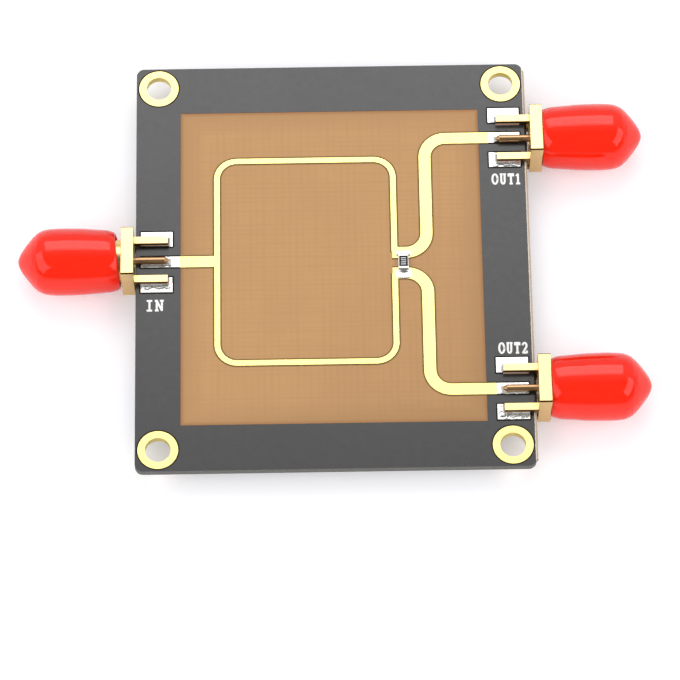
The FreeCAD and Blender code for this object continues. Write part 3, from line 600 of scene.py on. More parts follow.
class SPLITTER_OT_board(bpy.types.Operator):
    """Gives the laminate, masks, ground plane, pads and plated holes their finishes"""

    bl_idname = "splitter.board"
    bl_label = "Board finishes"

    def execute(self, context):
        board = context.scene.splitter_board
        mask = solder_mask_finish(board)
        gold = plated_gold_finish("immersion_gold_on_copper", board.gold_colour)
        coated("laminate_board", laminate_finish(board))
        coated("top_solder_mask", mask)
        coated("bottom_solder_mask", mask)
        coated("hole_plating", gold)
        coated("ground_pads", gold)
        coated("ground_plane", plated_gold_finish("rolled_copper_foil", linear("#c9743f")))
        return {"FINISHED"}


class SPLITTER_OT_tracks(bpy.types.Operator):
    """Makes the etched divider: feed, ring and both output branches, with sloping flanks"""

    bl_idname = "splitter.tracks"
    bl_label = "Divider tracks"

    def execute(self, context):
        board = context.scene.splitter_board
        low, high = box_of("divider_track")
        half = board.track_width / 2
        right = BOARD_X + board.ring_right
        left = right - board.ring_span_x
        ring_back = FEED_Y + board.ring_span_y / 2
        ring_front = FEED_Y - board.ring_span_y / 2
        near = (RESISTOR_GAP + board.track_width) / 2
        upper, lower = OUTPUT_MIDDLE + near, OUTPUT_MIDDLE - near
        column = BOARD_X + board.column
        inner = right - board.arm_width / 2
        ring = [(right, upper), (right, ring_back), (left, ring_back),
                (left, ring_front), (right, ring_front), (right, lower)]
        feed = [(low.x, FEED_Y), (left, FEED_Y)]
        out1 = [(inner, upper), (column, upper), (column, high.y - half), (high.x, high.y - half)]
        out2 = [(inner, lower), (column, lower), (column, low.y + half), (high.x, low.y + half)]
        # Tops stand a micrometre apart, so that overlapping tracks never share a face.
        plans = ((ring, board.arm_bend, board.arm_width, 0.0),
                 (feed, board.track_bend, board.track_width, 0.001),
                 (out1, board.track_bend, board.track_width, 0.002),
                 (out2, board.track_bend, board.track_width, 0.002))
        # How deep the strips of painted shade beside the tracks start, how high they stand and how
        # wide their flanks are.
        sunk, proud, slope = 0.02, 0.012, 0.02
        tracks, margins = [], []
        for corners, bend, width, lift in plans:
            line, normals = rounded_line(corners, bend)
            margins.append(etched_strip(line, normals, width + 2 * (board.flank + board.margin),
                                        slope, LAMINATE_TOP - sunk, LAMINATE_TOP + proud + lift))
            tracks.append(etched_strip(line, normals, width, board.flank, LAMINATE_TOP,
                                       COPPER_TOP + lift, flank_number=1))
        gold = plated_gold_finish("immersion_gold_tracks", board.gold_colour, spread=0.06)
        # Painted shade: the tracks' sloping flanks are dark brown rather than gold.
        edge = plated_gold_finish("track_flank_painted_shade", linear("#553c1a"), rough=0.5)
        piece("divider_tracks", tracks, [gold, edge], BOARD_BODY,
              ["divider_track"], sharp=20)
        # Painted shade: a dark brown strip on the laminate along both sides of each track.
        bare = speckled_finish("painted_shade_beside_tracks", linear("#8a6a3a"), 0.6, 0.6, 1.5)
        piece("track_margins", margins, [bare], BOARD_BODY)
        return {"FINISHED"}


class SPLITTER_OT_rims(bpy.types.Operator):
    """Lays thin near-black strips of painted shade round pads, rings and tracks at the mask's
    edges, and the routed right edge
    """

    bl_idname = "splitter.rims"
    bl_label = "Mask edge shade and routed edge"

    def execute(self, context):
        board = context.scene.splitter_board
        # A shade strip's top, its flanks, how far it stands over the mask, and its corners' radius.
        wide, slope, proud, bend = 0.12, 0.035, 0.008, 0.12
        out = wide / 2 + slope
        steps = 5
        lines = []
        for port, side in PORTS.items():
            low, high = box_of(f"port_solder_{port}")
            outer, window = (low.x, WINDOW[0]) if side < 0 else (high.x, WINDOW[1])
            edge, end = outer + side * out, outer - side * (PAD_LENGTH + out)
            middle = (edge + end) / 2
            for pad_low, pad_high in ((low.y, low.y + PAD_WIDTH), (high.y - PAD_WIDTH, high.y)):
                front, back = pad_low - out, pad_high + out
                # The loop runs a little past its start, so that it closes.
                corners = [(middle, front), (edge, front), (edge, back), (end, back),
                           (end, front), (middle - 0.1 * side, front)]
                lines.append(rounded_line(corners, bend, steps))
            track = (low.y + high.y) / 2
            reach = board.track_width / 2 + out
            lines.append(rounded_line([(window, track - reach), (edge, track - reach),
                                       (edge, track + reach), (window, track + reach)],
                                      bend, steps))
        low, high = box_of("hole_plating")
        angle = np.linspace(0, 2 * math.pi + 0.05, 72)
        around = np.stack([np.cos(angle), np.sin(angle)], axis=1)
        for x in (low.x + RING_RADIUS, high.x - RING_RADIUS):
            for y in (low.y + RING_RADIUS, high.y - RING_RADIUS):
                lines.append((np.array([x, y]) + (RING_RADIUS + out) * around, around))
        # Painted shade: near-black strips where the mask's edge steps down round pads, rings and
        # tracks.
        rim = speckled_finish("painted_shade_at_mask_edges", linear("#0e0e0e"), 0.65, 0.4, 1.25)
        piece("mask_edge_shade_strips", [etched_strip(line, normals, wide, slope, LAMINATE_TOP, MASK_TOP + proud)
                            for line, normals in lines], [rim], BOARD_BODY)
        self.routed_edge(board, context.scene.splitter_jacks)
        return {"FINISHED"}

    @staticmethod
    def routed_edge(board, jacks):
        """Torn fibres stand past the mask: an oval section carried along the edge, whose reach
        wanders by a few crossing sines and grows by the jacks, where the band is painted dark as
        their shadow."""
        turn = np.linspace(0, 2 * math.pi, 12, endpoint=False)
        # The band stops short of the corners, and starts a little inside the laminate.
        short, sunk, wander = 0.9, 0.03, 0.03
        # By a jack it reaches further, over a short run, and is painted dark as the jack's shadow
        # for most of the flange.
        growth, run, darkened = 0.1, 0.4, 0.95
        y = np.linspace(BOARD_LOW.y + short, BOARD_HIGH.y - short, 260)
        reach = board.routed_edge + wander * ripples(y * 2.1, y * 3.7, 1.0)
        # Middles of the quads along the edge, of which the first and last close the ends.
        between = np.concatenate([y[:1], (y[1:] + y[:-1]) / 2, y[-1:]])
        near_jack = np.zeros(len(between), dtype=int)
        for jack_y in output_places():
            reach += growth * eased((jacks.flange / 2 - np.abs(y - jack_y)) / run)
            near_jack[np.abs(between - jack_y) < darkened * jacks.flange / 2] = 1
        half = (BOARD_HIGH.z - BOARD_LOW.z) / 2
        x = BOARD_HIGH.x - sunk + np.outer(np.cos(turn), reach)
        z = BOARD_LOW.z + half + np.outer(np.sin(turn), np.full_like(y, half))
        grid = np.stack([x, np.broadcast_to(y, x.shape), z], axis=2)
        ends = [np.broadcast_to(grid[:, [at]].mean(axis=0), (len(turn), 1, 3)) for at in (0, -1)]
        grid = np.concatenate([ends[0], grid, ends[1]], axis=1)
        fibres = speckled_finish("routed_glass_fibre", board.fibre_colour, 0.8, 0.25, 1.5)
        jack_shadow_finish = speckled_finish("painted_jack_shadow_on_fibre", linear("#2b221b"), 0.6, 0.3, 1.45)
        numbers = np.broadcast_to(near_jack, (len(turn), len(between)))
        piece("routed_edge", [[(grid, True, False, numbers)]], [fibres, jack_shadow_finish], BOARD_BODY)


def strokes_of(letter):
    """A letter's strokes on a box one unit high: straight runs with slab serifs, and bowls
    drawn as ellipses. Returns its width and its lines."""
    turn = np.linspace(0, 2 * math.pi, 25)
    bowl = np.stack([0.33 + 0.33 * np.cos(turn), 0.5 + 0.5 * np.sin(turn)], axis=1)
    cup = np.linspace(math.pi, 2 * math.pi, 13)
    under = np.stack([0.32 + 0.22 * np.cos(cup), 0.3 + 0.3 * np.sin(cup)], axis=1)
    hook = np.linspace(math.radians(165), math.radians(-35), 13)
    crook = np.stack([0.29 + 0.25 * np.cos(hook), 0.72 + 0.28 * np.sin(hook)], axis=1)
    glyphs = {
        "I": (0.42, [[(0.21, 0), (0.21, 1)], [(0, 0), (0.42, 0)], [(0, 1), (0.42, 1)]]),
        "N": (0.78, [[(0.14, 0), (0.14, 1)], [(0.14, 1), (0.62, 0)], [(0.62, 0), (0.62, 1)],
                     [(0, 0), (0.28, 0)], [(0, 1), (0.2, 1)], [(0.48, 1), (0.76, 1)]]),
        "O": (0.66, [bowl]),
        "U": (0.66, [np.concatenate([[(0.1, 1)], under, [(0.54, 1)]]),
                     [(0, 1), (0.24, 1)], [(0.42, 1), (0.66, 1)]]),
        "T": (0.62, [[(0.31, 0), (0.31, 1)], [(0, 1), (0.62, 1)], [(0.16, 0), (0.46, 0)],
                     [(0.02, 1), (0.02, 0.8)], [(0.6, 1), (0.6, 0.8)]]),
        "1": (0.42, [[(0.22, 0), (0.22, 1)], [(0.22, 1), (0.04, 0.82)], [(0.02, 0), (0.42, 0)]]),
        "2": (0.56, [np.concatenate([crook, [(0.03, 0.0)]]), [(0.03, 0), (0.56, 0)],
                     [(0.56, 0), (0.56, 0.16)]]),
    }
    return glyphs[letter]


class SPLITTER_OT_letters(bpy.types.Operator):
    """Prints the plain port names beside the jacks in white ink"""

    bl_idname = "splitter.letters"
    bl_label = "Port lettering"

    def execute(self, context):
        board = context.scene.splitter_board
        tall = board.letter_height
        # The pen's width and its overrun at a stroke's ends, and the gap between letters.
        pen, overrun, gap = tall * 0.15, 0.3, 0.22
        # Each word's middle, from the board's middle, beside the jack that it names.
        words = (("IN", -22.03, -5.47), ("OUT1", 22.1, 11.35), ("OUT2", 22.22, -11.95))
        foot, top = MASK_TOP - 0.005, MASK_TOP + 0.02
        patches = []
        for word, middle_x, middle_y in words:
            letters = [strokes_of(letter) for letter in word]
            total = sum(wide for wide, strokes in letters) + gap * (len(word) - 1)
            narrow = min(1.0, board.word_width / (total * tall))
            at = BOARD_X + middle_x - total * tall * narrow / 2
            for wide, strokes in letters:
                for number, stroke in enumerate(strokes):
                    line = np.asarray(stroke, dtype=float) * (tall - pen) * [narrow, 1.0]
                    line = line + np.array([at, middle_y - (tall - pen) / 2])
                    ways = np.gradient(line, axis=0)
                    ways /= np.linalg.norm(ways, axis=1, keepdims=True)
                    reach = np.zeros_like(line)
                    reach[0], reach[-1] = -ways[0], ways[-1]
                    normals = np.stack([-ways[:, 1], ways[:, 0]], axis=1)
                    # Each stroke stands a little higher, so that no two share a face.
                    patches.append(etched_strip(line + reach * pen * overrun, normals, pen,
                                                pen * 0.08, foot, top + 0.0007 * number))
                at += (wide + gap) * tall * narrow
        ink = speckled_finish("white_epoxy_ink", board.ink_colour, 0.55, 0.2, 1.5)
        piece("port_lettering", patches, [ink], BOARD_BODY)
        return {"FINISHED"}


def solder_mound(x_span, y_span, base, up, height_of, samples=(72, 48), rounded=0.0):
    """Solder on a pad: a height over the pad worked out by place, drawn down to the copper at
    its rim by 1 - (1 - d)^4, where d is the distance in from the rim over that of its round
    edge, over a flat foot. Its corners come in by the part rounded of the half widths:
    u becomes u (1 - rounded u^4 v^4)."""
    round_edge = 0.12
    bend = [0.5 + 0.5 * np.sin(math.pi * (np.linspace(0, 1, count) - 0.5)) for count in samples]
    across, along = np.meshgrid(x_span[0] + (x_span[1] - x_span[0]) * bend[0],
                                y_span[0] + (y_span[1] - y_span[0]) * bend[1], indexing="ij")
    rim = np.minimum.reduce([across - x_span[0], x_span[1] - across,
                             along - y_span[0], y_span[1] - along])
    soft = 1 - (1 - np.clip(rim / round_edge, 0, 1)) ** 4
    if rounded:
        x_middle, y_middle = sum(x_span) / 2, sum(y_span) / 2
        u = (across - x_middle) / (x_span[1] - x_middle)
        v = (along - y_middle) / (y_span[1] - y_middle)
        drawn = rounded * (u * v) ** 4
        across, along = across - (across - x_middle) * drawn, along - (along - y_middle) * drawn
    height = height_of(across, along) * soft
    skin = np.stack([across, along, base + up * height], axis=2)
    foot = np.stack([across, along, np.full_like(across, base)], axis=2)
    return [(skin, False, False, 0), (foot[::-1], False, False, 0)]


def ripples(x, y, seed):
    """Small unevenness of cooled solder: a few crossing sines, between -1 and 1."""
    first = np.sin(3.1 * x + 1.7 * seed + 1.3 * np.sin(2.3 * y + seed))
    second = np.sin(4.7 * y - 2.1 * x + 2.9 * seed)
    third = np.sin(9.1 * x + 7.3 * y + 0.7 * seed)
    return 0.45 * first + 0.35 * second + 0.2 * third


def eased(part):
    """Smooth step 3 p^2 - 2 p^3 of a part held between 0 and 1."""
    part = np.clip(part, 0, 1)
    return part * part * (3 - 2 * part)


def fillet(distance, reach, rise):
    """Concave solder fillet: it rises towards a wall as the square of the nearness."""
    near = np.clip(1 - distance / reach, 0, 1)
    return rise * near ** 2


def away_from(past, apart, half):
    """Distance in plan from a bar that ends where past is 0 and is half wide on each side of
    where apart is 0."""
    return np.hypot(np.clip(past, 0, None), np.clip(np.abs(apart) - half, 0, None))


class SPLITTER_OT_solder(bpy.types.Operator):
    """Flows tin on the pads and round each jack's pin and legs, above and below"""

    bl_idname = "splitter.solder"
    bl_label = "Port solder"

    def execute(self, context):
        board = context.scene.splitter_board
        jacks = context.scene.splitter_jacks
        tin = solder_finish(board)
        lit_pad_sheet = speckled_finish("painted_lit_pad_reflection", linear("#c9ab95"), 0.4, 0.3, 1.5)
        # Thickness of the thinnest tin, the pin's radius, and how far the painted reflection sheet
        # overlaps the leg.
        film, pin_radius, overlap = 0.03, 0.3, 0.02
        # How much rougher than the others some near pads were wetted.
        pitted = {("out2", -1): 6.0, ("in", -1): 1.5}
        for seed, (port, side) in enumerate(PORTS.items(), start=1):
            low, high = box_of(f"port_solder_{port}")
            origin_x, origin_y, _ = jack_origin(port)
            outer, tinned = (low.x, high.x) if side < 0 else (high.x, low.x)
            pad_x = sorted((outer, outer - side * PAD_LENGTH))
            leg_end, tip = origin_x - side * LEG_LENGTH, origin_x - side * PIN_LENGTH
            patches = []
            for row, (sign, edge) in enumerate(((-1, low.y), (1, high.y))):
                leg_y = origin_y + sign * jacks.leg_pitch / 2
                phase = seed * 3 + row
                rough = 0.006 * pitted.get((port, sign), 1)

                def beside_leg(x, y):
                    """A film with a fillet, a wavy pool and shallow pits, by the distance."""
                    away = away_from((leg_end - x) * side, y - leg_y, jacks.leg_wide / 2)
                    rise = board.fillet_height * (0.8 + 0.25 * ripples(x, y * 0.3, phase))
                    foot = 0.5 + 0.22 * ripples(x * 1.5, y * 0.3, phase + 2)
                    pool = 0.06 * eased((foot - away) / 0.13)
                    pits = rough * eased((1.1 - away) / 0.8) * (
                        ripples(x * 1.9, y * 2.1, phase)
                        + 0.5 * ripples(x * 4.3, y * 4.9, phase + 1))
                    return film + fillet(away, 0.24, rise) + pool + pits

                # Painted reflection: a pinkish sheet on the lower part of the leg's near side
                # stands for the lit pad mirrored there.
                patches.append(slab_at((leg_end + outer) / 2, leg_y - jacks.leg_wide / 2 + overlap,
                                       abs(leg_end - outer) / 2, 0.05, COPPER_TOP,
                                       COPPER_TOP + board.leg_sheet_height, 0.02, 0.02, number=1))
                pad_y = sorted((edge, edge - sign * PAD_WIDTH))
                for base, up in ((COPPER_TOP, 1), (COPPER_FOOT, -1)):
                    patches.append(solder_mound(pad_x, pad_y, base, up, beside_leg))

            def beside_pin(x, y):
                """A film with a fillet, a wavy pool and ripples, by the distance."""
                away = away_from((tip - x) * side, y - origin_y, pin_radius)
                rise = 0.34 * (0.85 + 0.2 * ripples(x, y * 0.3, seed * 5))
                pool = 0.05 * eased((0.34 + 0.1 * ripples(x * 1.8, y, seed * 5) - away) / 0.12)
                return film + fillet(away, 0.2, rise) + pool + 0.008 * ripples(x, y, seed * 5)

            track_y, half = (low.y + high.y) / 2, board.track_width / 2
            patches.append(solder_mound(sorted((outer, tinned)), (track_y - half, track_y + half),
                                        COPPER_TOP, 1, beside_pin))
            piece(f"solder_{port}", patches, [tin, lit_pad_sheet], BOARD_BODY,
                  [f"port_solder_{port}"])
        return {"FINISHED"}


class SPLITTER_OT_resistor(bpy.types.Operator):
    """Makes the chip resistor across the gap: ceramic, wrapped ends, overcoat and solder"""

    bl_idname = "splitter.resistor"
    bl_label = "Chip resistor"

    def execute(self, context):
        board = context.scene.splitter_board
        low, high = box_of("resistor_terminals")
        x, y = (low.x + high.x) / 2, (low.y + high.y) / 2
        half_x, half_y = (high.x - low.x) / 2, (high.y - low.y) / 2
        # The wrapped metal's thickness, and its reach along the chip.
        wall, wrap = 0.05, 0.32
        chip = slab_at(x, y, half_x - 0.02, half_y - wall, low.z + 0.02, high.z - wall * 0.6,
                       0.06, 0.03)
        ceramic = speckled_finish("alumina_ceramic", linear("#e9e7e2"), 0.5, 0.15, 1.76)
        piece("chip_ceramic", [chip], [ceramic], BOARD_BODY, ["resistor_body"])
        ends = [slab_at(x, y + sign * (half_y - wrap / 2), half_x, wrap / 2, low.z, high.z,
                        0.05, 0.045) for sign in (-1, 1)]
        tin = plated_gold_finish("tin_plated_ends", linear("#e4e4e6"), rough=0.3, spread=0.04)
        piece("chip_ends", ends, [tin], BOARD_BODY, ["resistor_terminals"])
        coat_low, coat_high = box_of("resistor_overcoat")
        coat_x, coat_y = (coat_low.x + coat_high.x) / 2, (coat_low.y + coat_high.y) / 2
        coat = slab_at(coat_x, coat_y, (coat_high.x - coat_low.x) / 2,
                       (coat_high.y - coat_low.y) / 2, coat_low.z - 0.05, coat_high.z - 0.01,
                       0.06, 0.04)
        long, wide, thick = 0.66, 0.1, 0.03
        bars = [slab_at(coat_x, coat_y + level, long / 2, wide / 2, coat_high.z - thick,
                        coat_high.z, 0.03, 0.01, number=1) for level in (-0.42, -0.14, 0.14, 0.42)]
        glass = speckled_finish("black_glass_overcoat", linear("#0e0d0f"), 0.5, 0.1, 1.2)
        pale = speckled_finish("pale_marking_ink", linear("#f4f4f6"), 0.5, 0.1, 1.5)
        piece("chip_overcoat", [coat] + bars, [glass, pale], BOARD_BODY,
              ["resistor_overcoat"])
        blob_low, blob_high = box_of("resistor_solder")
        blobs = []
        for sign, reach in ((-1, blob_low.y - 0.55), (1, blob_high.y + 0.02)):
            face = y + sign * half_y

            def beside_chip(px, py):
                """Solder that climbs the chip's end: at the near end it bulges in the middle as
                a half circle does."""
                away = away_from((py - face) * sign, px - x, half_x * 0.9)
                inside = 1 - ((px - x) / (half_x * 1.05)) ** 2
                bulge = np.sqrt(np.clip(inside, 0.02, 1)) if sign < 0 else 0.8
                climb = fillet(away, 0.46 * bulge, 0.36 * bulge)
                return 0.07 + climb + 0.006 * ripples(px * 2, py * 2, 4 + sign)

            blobs.append(solder_mound((blob_low.x + 0.02, blob_high.x + 0.1),
                                      sorted((face - sign * 0.12, reach)), COPPER_TOP, 1,
                                      beside_chip, (34, 22), 0.2))
        piece("chip_solder", blobs, [solder_finish(board)], BOARD_BODY, ["resistor_solder"])
        return {"FINISHED"}


def shell_patches(jacks):
    """A jack's shell in its own frame: square flange with a bore, threaded barrel, four legs.
    Quads of material 1 are the legs' faces darkened as painted shade: their sides, and the lower
    legs whole.
    Quads of material 2 are the chamfers of the flange's upper edges, darkened as painted shade."""
    half = jacks.flange / 2
    corner_steps = 7
    rim_in, rim_up = rounded_rim(0.08, 4)
    insets = np.concatenate([rim_in, rim_in[::-1]])
    levels = np.concatenate([rim_up - jacks.flange_back, jacks.flange_thick - rim_up[::-1]])
    loops = np.stack([slab_loop(half, half, jacks.chamfer, inset, corner_steps, True)
                      for inset in insets])
    angle = np.arctan2(loops[:1, :, 1], loops[:1, :, 0])
    bore = np.stack([jacks.bore * np.cos(angle), jacks.bore * np.sin(angle)], axis=2)
    loops = np.concatenate([bore, loops, bore])
    levels = np.concatenate([[-jacks.flange_back], levels, [jacks.flange_thick]])
    heights = np.broadcast_to(levels[:, None, None], loops.shape[:2] + (1,))
    flange = np.concatenate([heights, loops], axis=2)
    shaded = np.zeros(flange.shape[:2], dtype=int)
    # The outline's first two corners are the upper ones.
    for first in (0, corner_steps):
        shaded[1:-2, first:first + corner_steps - 1] = 2
    patches = [[(flange, True, True, shaded)]]

    start, end = jacks.flange_thick + jacks.neck_long, JACK_REACH
    turns = np.linspace(start, end, 150)
    # How far the barrel is buried in the flange, the step up to the thread, the mouth's bevel,
    # and the run over which the thread starts and its end is chamfered.
    buried, step, bevel, run = 0.2, 0.25, 0.12, 0.45
    neck = [(jacks.flange_thick - buried, jacks.bore), (jacks.flange_thick - buried, jacks.neck),
            (jacks.flange_thick + 0.02, jacks.neck), (start - step, jacks.neck)]
    mouth = [(end, jacks.mouth + bevel), (end - bevel, jacks.mouth),
             (end - jacks.mouth_deep, jacks.mouth), (end - jacks.mouth_deep, jacks.bore)]
    threaded = np.stack([turns, np.full_like(turns, jacks.thread)], axis=1)

    def cut_thread(along, radius, angle):
        """Radius = crest - depth (1 - clipped triangle wave of along / pitch - turn)."""
        turn = np.mod(along / jacks.pitch - angle / (2 * math.pi), 1.0)
        crest = np.clip((np.abs(turn - 0.5) * 2 - 0.12) / 0.72, 0, 1)
        lead = np.clip((along - start) / run, 0, 1)
        worn = radius - jacks.depth * (1 - crest) * lead
        worn = np.minimum(worn, jacks.thread - np.clip(along - (end - run), 0, None))
        rows = np.zeros_like(radius, dtype=bool)
        rows[len(neck):len(neck) + len(turns)] = True
        return along, np.where(rows, worn, radius)

    patches.append([(turned(np.concatenate([neck, threaded, mouth]), 96, cut_thread),
                     True, True, 0)])
    # A bar's outline has five points to a corner, so its upper side and half of each corner
    # beside it take up these quads.
    upper_side = slice(2, 7)
    # The upper and the lower leg of a side, from underside to top, and their run into the flange.
    legs, rooted = ((-0.425, 0.475), (-2.525, -1.625)), 0.3
    for sign in (-1, 1):
        for low, high in legs:
            bar = rounded_slab(jacks.leg_wide / 2, (high - low) / 2, -LEG_LENGTH, rooted,
                               0.06, 0.05)
            # Painted shade: everything but an upper leg's top takes the darker gold.
            leg_shade_quads = np.ones((bar.shape[0] - 1, bar.shape[1]), dtype=int)
            if high > 0:
                leg_shade_quads[1:, upper_side] = 0
            leg = np.stack([bar[..., 2], bar[..., 0] + sign * jacks.leg_pitch / 2,
                            bar[..., 1] + (low + high) / 2], axis=2)
            patches.append([(leg, False, True, leg_shade_quads)])
    return patches


class SPLITTER_OT_jacks(bpy.types.Operator):
    """Makes the three gold jacks: flange, threaded barrel and legs, and finishes their insides"""

    bl_idname = "splitter.jacks"
    bl_label = "Edge jacks"

    def execute(self, context):
        jacks = context.scene.splitter_jacks
        brass = plated_gold_finish("gold_plated_brass_shell", jacks.shell_colour, rough=0.26,
                                   grain=2.5, spread=0.05)
        shaded_legs = plated_gold_finish("gold_with_painted_leg_shade", jacks.leg_shade_colour, rough=0.4, spread=0.2)
        # Painted shade: the flange's upper chamfers are dark olive gold.
        edge = plated_gold_finish("gold_edge_painted_shade", linear("#5a4d2a"), rough=0.4)
        pin = plated_gold_finish("gold_plated_pin", jacks.contact_colour, grain=3.0, spread=0.04,
                                 bump=0.0005)
        bead = speckled_finish("white_ptfe", jacks.bead_colour, 0.5, 0.8, 1.36)
        for port in PORTS:
            patches = [[(seated(grid, port), *rest) for grid, *rest in patch]
                       for patch in shell_patches(jacks)]
            piece(f"jack_shell_{port}", patches, [brass, shaded_legs, edge], BOARD_BODY,
                  [f"connector_shell_{port}"])
            coated(f"centre_contact_{port}", pin)
            coated(f"insulator_{port}", bead)
        return {"FINISHED"}


class SPLITTER_OT_caps(bpy.types.Operator):
    """Makes the three red caps: a measured outline turned about the axis, with a hollow"""

    bl_idname = "splitter.caps"
    bl_label = "Dust caps"

    def execute(self, context):
        caps = context.scene.splitter_caps
        outer = smooth_through([(0.0, 3.42), (0.07, 3.52), (0.35, 3.65), (0.75, 3.78),
                                (1.15, 3.86), (1.7, 3.91), (3.3, 4.03),
                                (4.3, 4.11), (5.8, 4.15), (7.2, 4.165), (8.2, 4.12), (8.9, 4.03),
                                (9.4, 3.87), (9.9, 3.61), (10.45, 3.17), (10.95, 2.60),
                                (11.45, 1.96), (11.95, 1.23), (12.25, 0.62), (12.36, 0.25),
                                (12.385, 0.0)])
        wide, seat = caps.inside, caps.seat
        inner = [(11.3, 0.0), (11.3, 0.9), (11.1, 1.2), (seat + 0.3, 1.3), (seat, 1.6),
                 (seat, wide - 0.3), (seat - 0.3, wide), (5.0, wide), (0.5, wide),
                 (0.12, wide), (0.0, wide + 0.08)]
        profile = np.concatenate([inner, outer])
        vinyl = vinyl_finish(caps)
        # How far each mouth reaches past its solid's towards the flange, mm, and how much of
        # the ripple it has: the input's cap was cut on a slant, the others sit square.
        cuts = {"in": (0.12, 1.0), "out1": (0.2, 0.06), "out2": (0.12, 0.06)}
        clearance, slant_angle = 0.03, math.radians(35)
        # How far inwards the ripple fades, and how much the wall is out of round.
        fading, oval = 1.2, 0.0015
        for number, (port, side) in enumerate(PORTS.items()):
            low, high = box_of(f"dust_cap_{port}")
            mouth = high.x if side < 0 else low.x
            stand_off = (mouth - jack_origin(port)[0]) * side
            fuller = ((high.z - low.z) / 2 - 0.01) / caps.belly
            further, slant = cuts[port]
            room = stand_off - context.scene.splitter_jacks.flange_thick - clearance

            def uneven(along, radius, angle):
                """The mouth wanders by ripple (cos a + 0.3 cos 2a) from its slant's high side,
                fading inwards; the wall is a little out of round."""
                fade = np.exp(-np.clip(along, 0, None) / fading)
                high_side = angle - slant_angle
                wave = np.cos(high_side) + 0.3 * np.cos(2 * high_side)
                shift = (caps.ripple * slant * wave - further) * fade
                round_off = 1 - oval * (1 + np.cos(2 * angle + number))
                outer_wall = radius > wide + 0.3
                grown = np.where(outer_wall, radius * fuller * round_off, radius)
                return np.maximum(along + shift, -room), grown

            grid = seated(turned(profile, 120, uneven), port, stand_off)
            piece(f"cap_{port}", [[(grid, False, True, 0)]], [vinyl], f"cap_{port}",
                  [f"dust_cap_{port}"])
        return {"FINISHED"}


def studio_lamp(name, direction, distance, size, level):
    """A rectangular softbox that faces the part. Its power is its level times pi times area."""
    lamp = bpy.data.lights.new(name, "AREA")
    lamp.shape = "RECTANGLE"
    lamp.size, lamp.size_y = size
    lamp.energy = level * math.pi * size[0] * size[1]
    holder = bpy.data.objects.new(name, lamp)
    bpy.context.scene.collection.objects.link(holder)
    outwards = Vector(direction).normalized()
    holder.location = outwards * distance
    holder.rotation_euler = outwards.to_track_quat("Z", "Y").to_euler()
    holder.visible_camera = False


def seen_by(tree, *rays):
    """1 for the rays of the named kinds, and 0 for the rest."""
    path = add_node(tree, "ShaderNodeLightPath")
    seen = path[f"Is {rays[0]} Ray"]
    for ray in rays[1:]:
        seen = add_node(tree, "ShaderNodeMath",
                        {"operation": "MAXIMUM", 0: seen, 1: path[f"Is {ray} Ray"]})[0]
    return seen


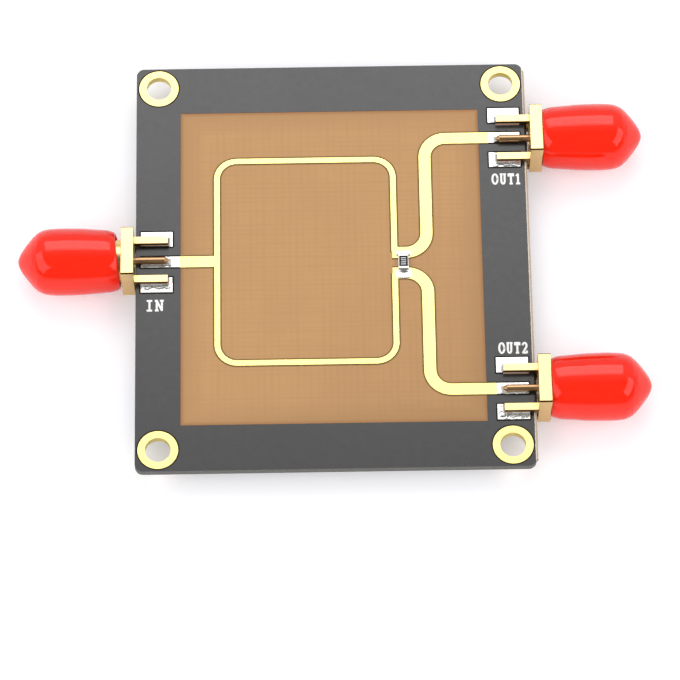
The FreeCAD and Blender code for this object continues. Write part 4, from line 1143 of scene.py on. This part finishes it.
class SPLITTER_OT_stage(bpy.types.Operator):
    """Sets up the white floor, the softboxes, the room's light and the camera"""

    bl_idname = "splitter.stage"
    bl_label = "Stage"

    def execute(self, context):
        stage = context.scene.splitter_stage
        self.lay_floor(context, stage)
        self.light_room(context, stage)
        # The board's near edge mirrors the long softbox's near edge into the camera, so the
        # sheen of the mask fades towards the front.
        studio_lamp("back_softbox", (-0.03, 0.63, 0.776), 0.6, (0.5, 0.33), stage.back_level)
        studio_lamp("softbox_foot", (-0.03, 0.35, 0.937), 0.6, (0.5, 0.1), stage.foot_level)
        studio_lamp("left_softbox", (-0.72, -0.32, 0.6), 0.8, (1.05, 0.56), stage.left_level)
        studio_lamp("right_softbox", (0.72, -0.32, 0.6), 0.8, (0.85, 0.42), stage.right_level)

        lens = bpy.data.cameras.new("camera")
        lens.sensor_width = 36
        lens.lens = stage.lens
        lens.clip_start = 0.01
        camera = bpy.data.objects.new("camera", lens)
        context.scene.collection.objects.link(camera)
        turn_x, turn_y, turn_z = (math.radians(angle) for angle in stage.turn)
        # The world's turn into the camera's frame: about Y first, then X, then Z.
        seen_from = (Matrix.Rotation(turn_z, 3, "Z") @ Matrix.Rotation(turn_x, 3, "X")
                     @ Matrix.Rotation(turn_y, 3, "Y"))
        place = Matrix.Translation(Vector(stage.place) * MM)
        camera.matrix_world = place @ seen_from.transposed().to_4x4()
        context.scene.camera = camera
        context.scene.view_settings.view_transform = "Standard"
        return {"FINISHED"}

    @staticmethod
    def lay_floor(context, stage):
        """A square of matt white paper, lifted to white where the camera sees it, and faintly
        where metal and gloss mirror it."""
        reach, rows = 2.5, 9
        side = np.linspace(-reach, reach, rows)
        across, along = np.meshgrid(side, side, indexing="ij")
        points = np.stack([across, along, np.zeros_like(across)], axis=2).reshape(-1, 3)
        mesh = bpy.data.meshes.new("floor")
        mesh.from_pydata(points, [], grid_quads(rows, rows, False, False)[:, ::-1])
        floor = bpy.data.objects.new("floor", mesh)
        context.scene.collection.objects.link(floor)
        material, tree, shader = finish_named("white_paper_floor")
        tint = layered(tree, shade(stage.floor_colour, 0.99),
                       (mottled(tree, 30.0), stage.floor_colour))
        fitted(shader, {"Base Color": tint, "Roughness": 0.9, "Specular IOR Level": 0.0})
        faint = add_node(tree, "ShaderNodeMath",
                         {"operation": "MULTIPLY", 0: seen_by(tree, "Glossy", "Transmission"),
                          1: 0.16})
        lift = add_node(tree, "ShaderNodeMath",
                        {"operation": "MULTIPLY_ADD", 0: seen_by(tree, "Camera"), 1: 0.29,
                         2: faint[0]})
        glow = add_node(tree, "ShaderNodeEmission", {"Color": (1, 1, 1, 1), "Strength": lift[0]})
        both = add_node(tree, "ShaderNodeAddShader", {0: shader.outputs[0], 1: glow[0]})
        fitted(tree.nodes["Material Output"], {"Surface": both[0]})
        mesh.materials.append(material)

    @staticmethod
    def light_room(context, stage):
        """The room lights the part softly. The camera and reflections see it white round the
        horizon, and above that dark in front of the part and pale behind it."""
        world = bpy.data.worlds.new("room")
        world.use_nodes = True
        context.scene.world = world
        sky = world.node_tree
        around = add_node(sky, "ShaderNodeTexCoord")["Generated"]
        way = add_node(sky, "ShaderNodeSeparateXYZ", {0: around})
        soft = add_node(sky, "ShaderNodeMapRange",
                        span(way["Y"], -0.6, 0.3, stage.fill_level, stage.room_level))
        room = fitted(sky.nodes["Background"], {"Color": linear("#fbfbff"), "Strength": soft[0]})
        wall = add_node(sky, "ShaderNodeMapRange",
                        span(way["Y"], -0.15, 0.4, stage.front_level, stage.rear_level))
        above = add_node(sky, "ShaderNodeMapRange", span(way["Z"], 0.02, 0.16, 0, 1))
        height = add_node(sky, "ShaderNodeMix", {0: above[0], 2: 1.0, 3: wall[0]})
        white = add_node(sky, "ShaderNodeBackground",
                         {"Color": (1, 1, 1, 1), "Strength": height[0]})
        mix = add_node(sky, "ShaderNodeMixShader",
                       {0: seen_by(sky, "Camera", "Glossy", "Transmission"),
                        1: room[0], 2: white[0]})
        fitted(sky.nodes["World Output"], {"Surface": mix[0]})


class SPLITTER_PT_panel(bpy.types.Panel):
    """Lists the splitter's pieces and their sizes and colours"""

    bl_label = "Power Splitter"
    bl_idname = "SPLITTER_PT_panel"
    bl_space_type = "VIEW_3D"
    bl_region_type = "UI"
    bl_category = "Splitter"

    def draw(self, context):
        for operator in OPERATORS:
            self.layout.operator(operator.bl_idname)
        for group_name in GROUPS:
            group = getattr(context.scene, group_name)
            box = self.layout.box()
            for name in group.bl_rna.properties.keys():
                if name not in ("rna_type", "name"):
                    box.prop(group, name)


GROUPS = {
    "splitter_board": SplitterBoard,
    "splitter_jacks": SplitterJacks,
    "splitter_caps": SplitterCaps,
    "splitter_stage": SplitterStage,
}
OPERATORS = (
    SPLITTER_OT_stage,
    SPLITTER_OT_board,
    SPLITTER_OT_tracks,
    SPLITTER_OT_rims,
    SPLITTER_OT_letters,
    SPLITTER_OT_solder,
    SPLITTER_OT_resistor,
    SPLITTER_OT_jacks,
    SPLITTER_OT_caps,
)
CLASSES = tuple(GROUPS.values()) + OPERATORS + (SPLITTER_PT_panel,)


def register():
    """Adds the classes and hangs each group of sizes on the scene."""
    for added in CLASSES:
        bpy.utils.register_class(added)
    for name, group in GROUPS.items():
        setattr(bpy.types.Scene, name, PointerProperty(type=group))


def unregister():
    """Takes the groups and classes away again."""
    for name in GROUPS:
        delattr(bpy.types.Scene, name)
    for added in reversed(CLASSES):
        bpy.utils.unregister_class(added)


def main():
    """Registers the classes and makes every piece."""
    register()
    for operator in OPERATORS:
        group, name = operator.bl_idname.split(".")
        getattr(getattr(bpy.ops, group), name)()


if __name__ == "__main__":
    main()
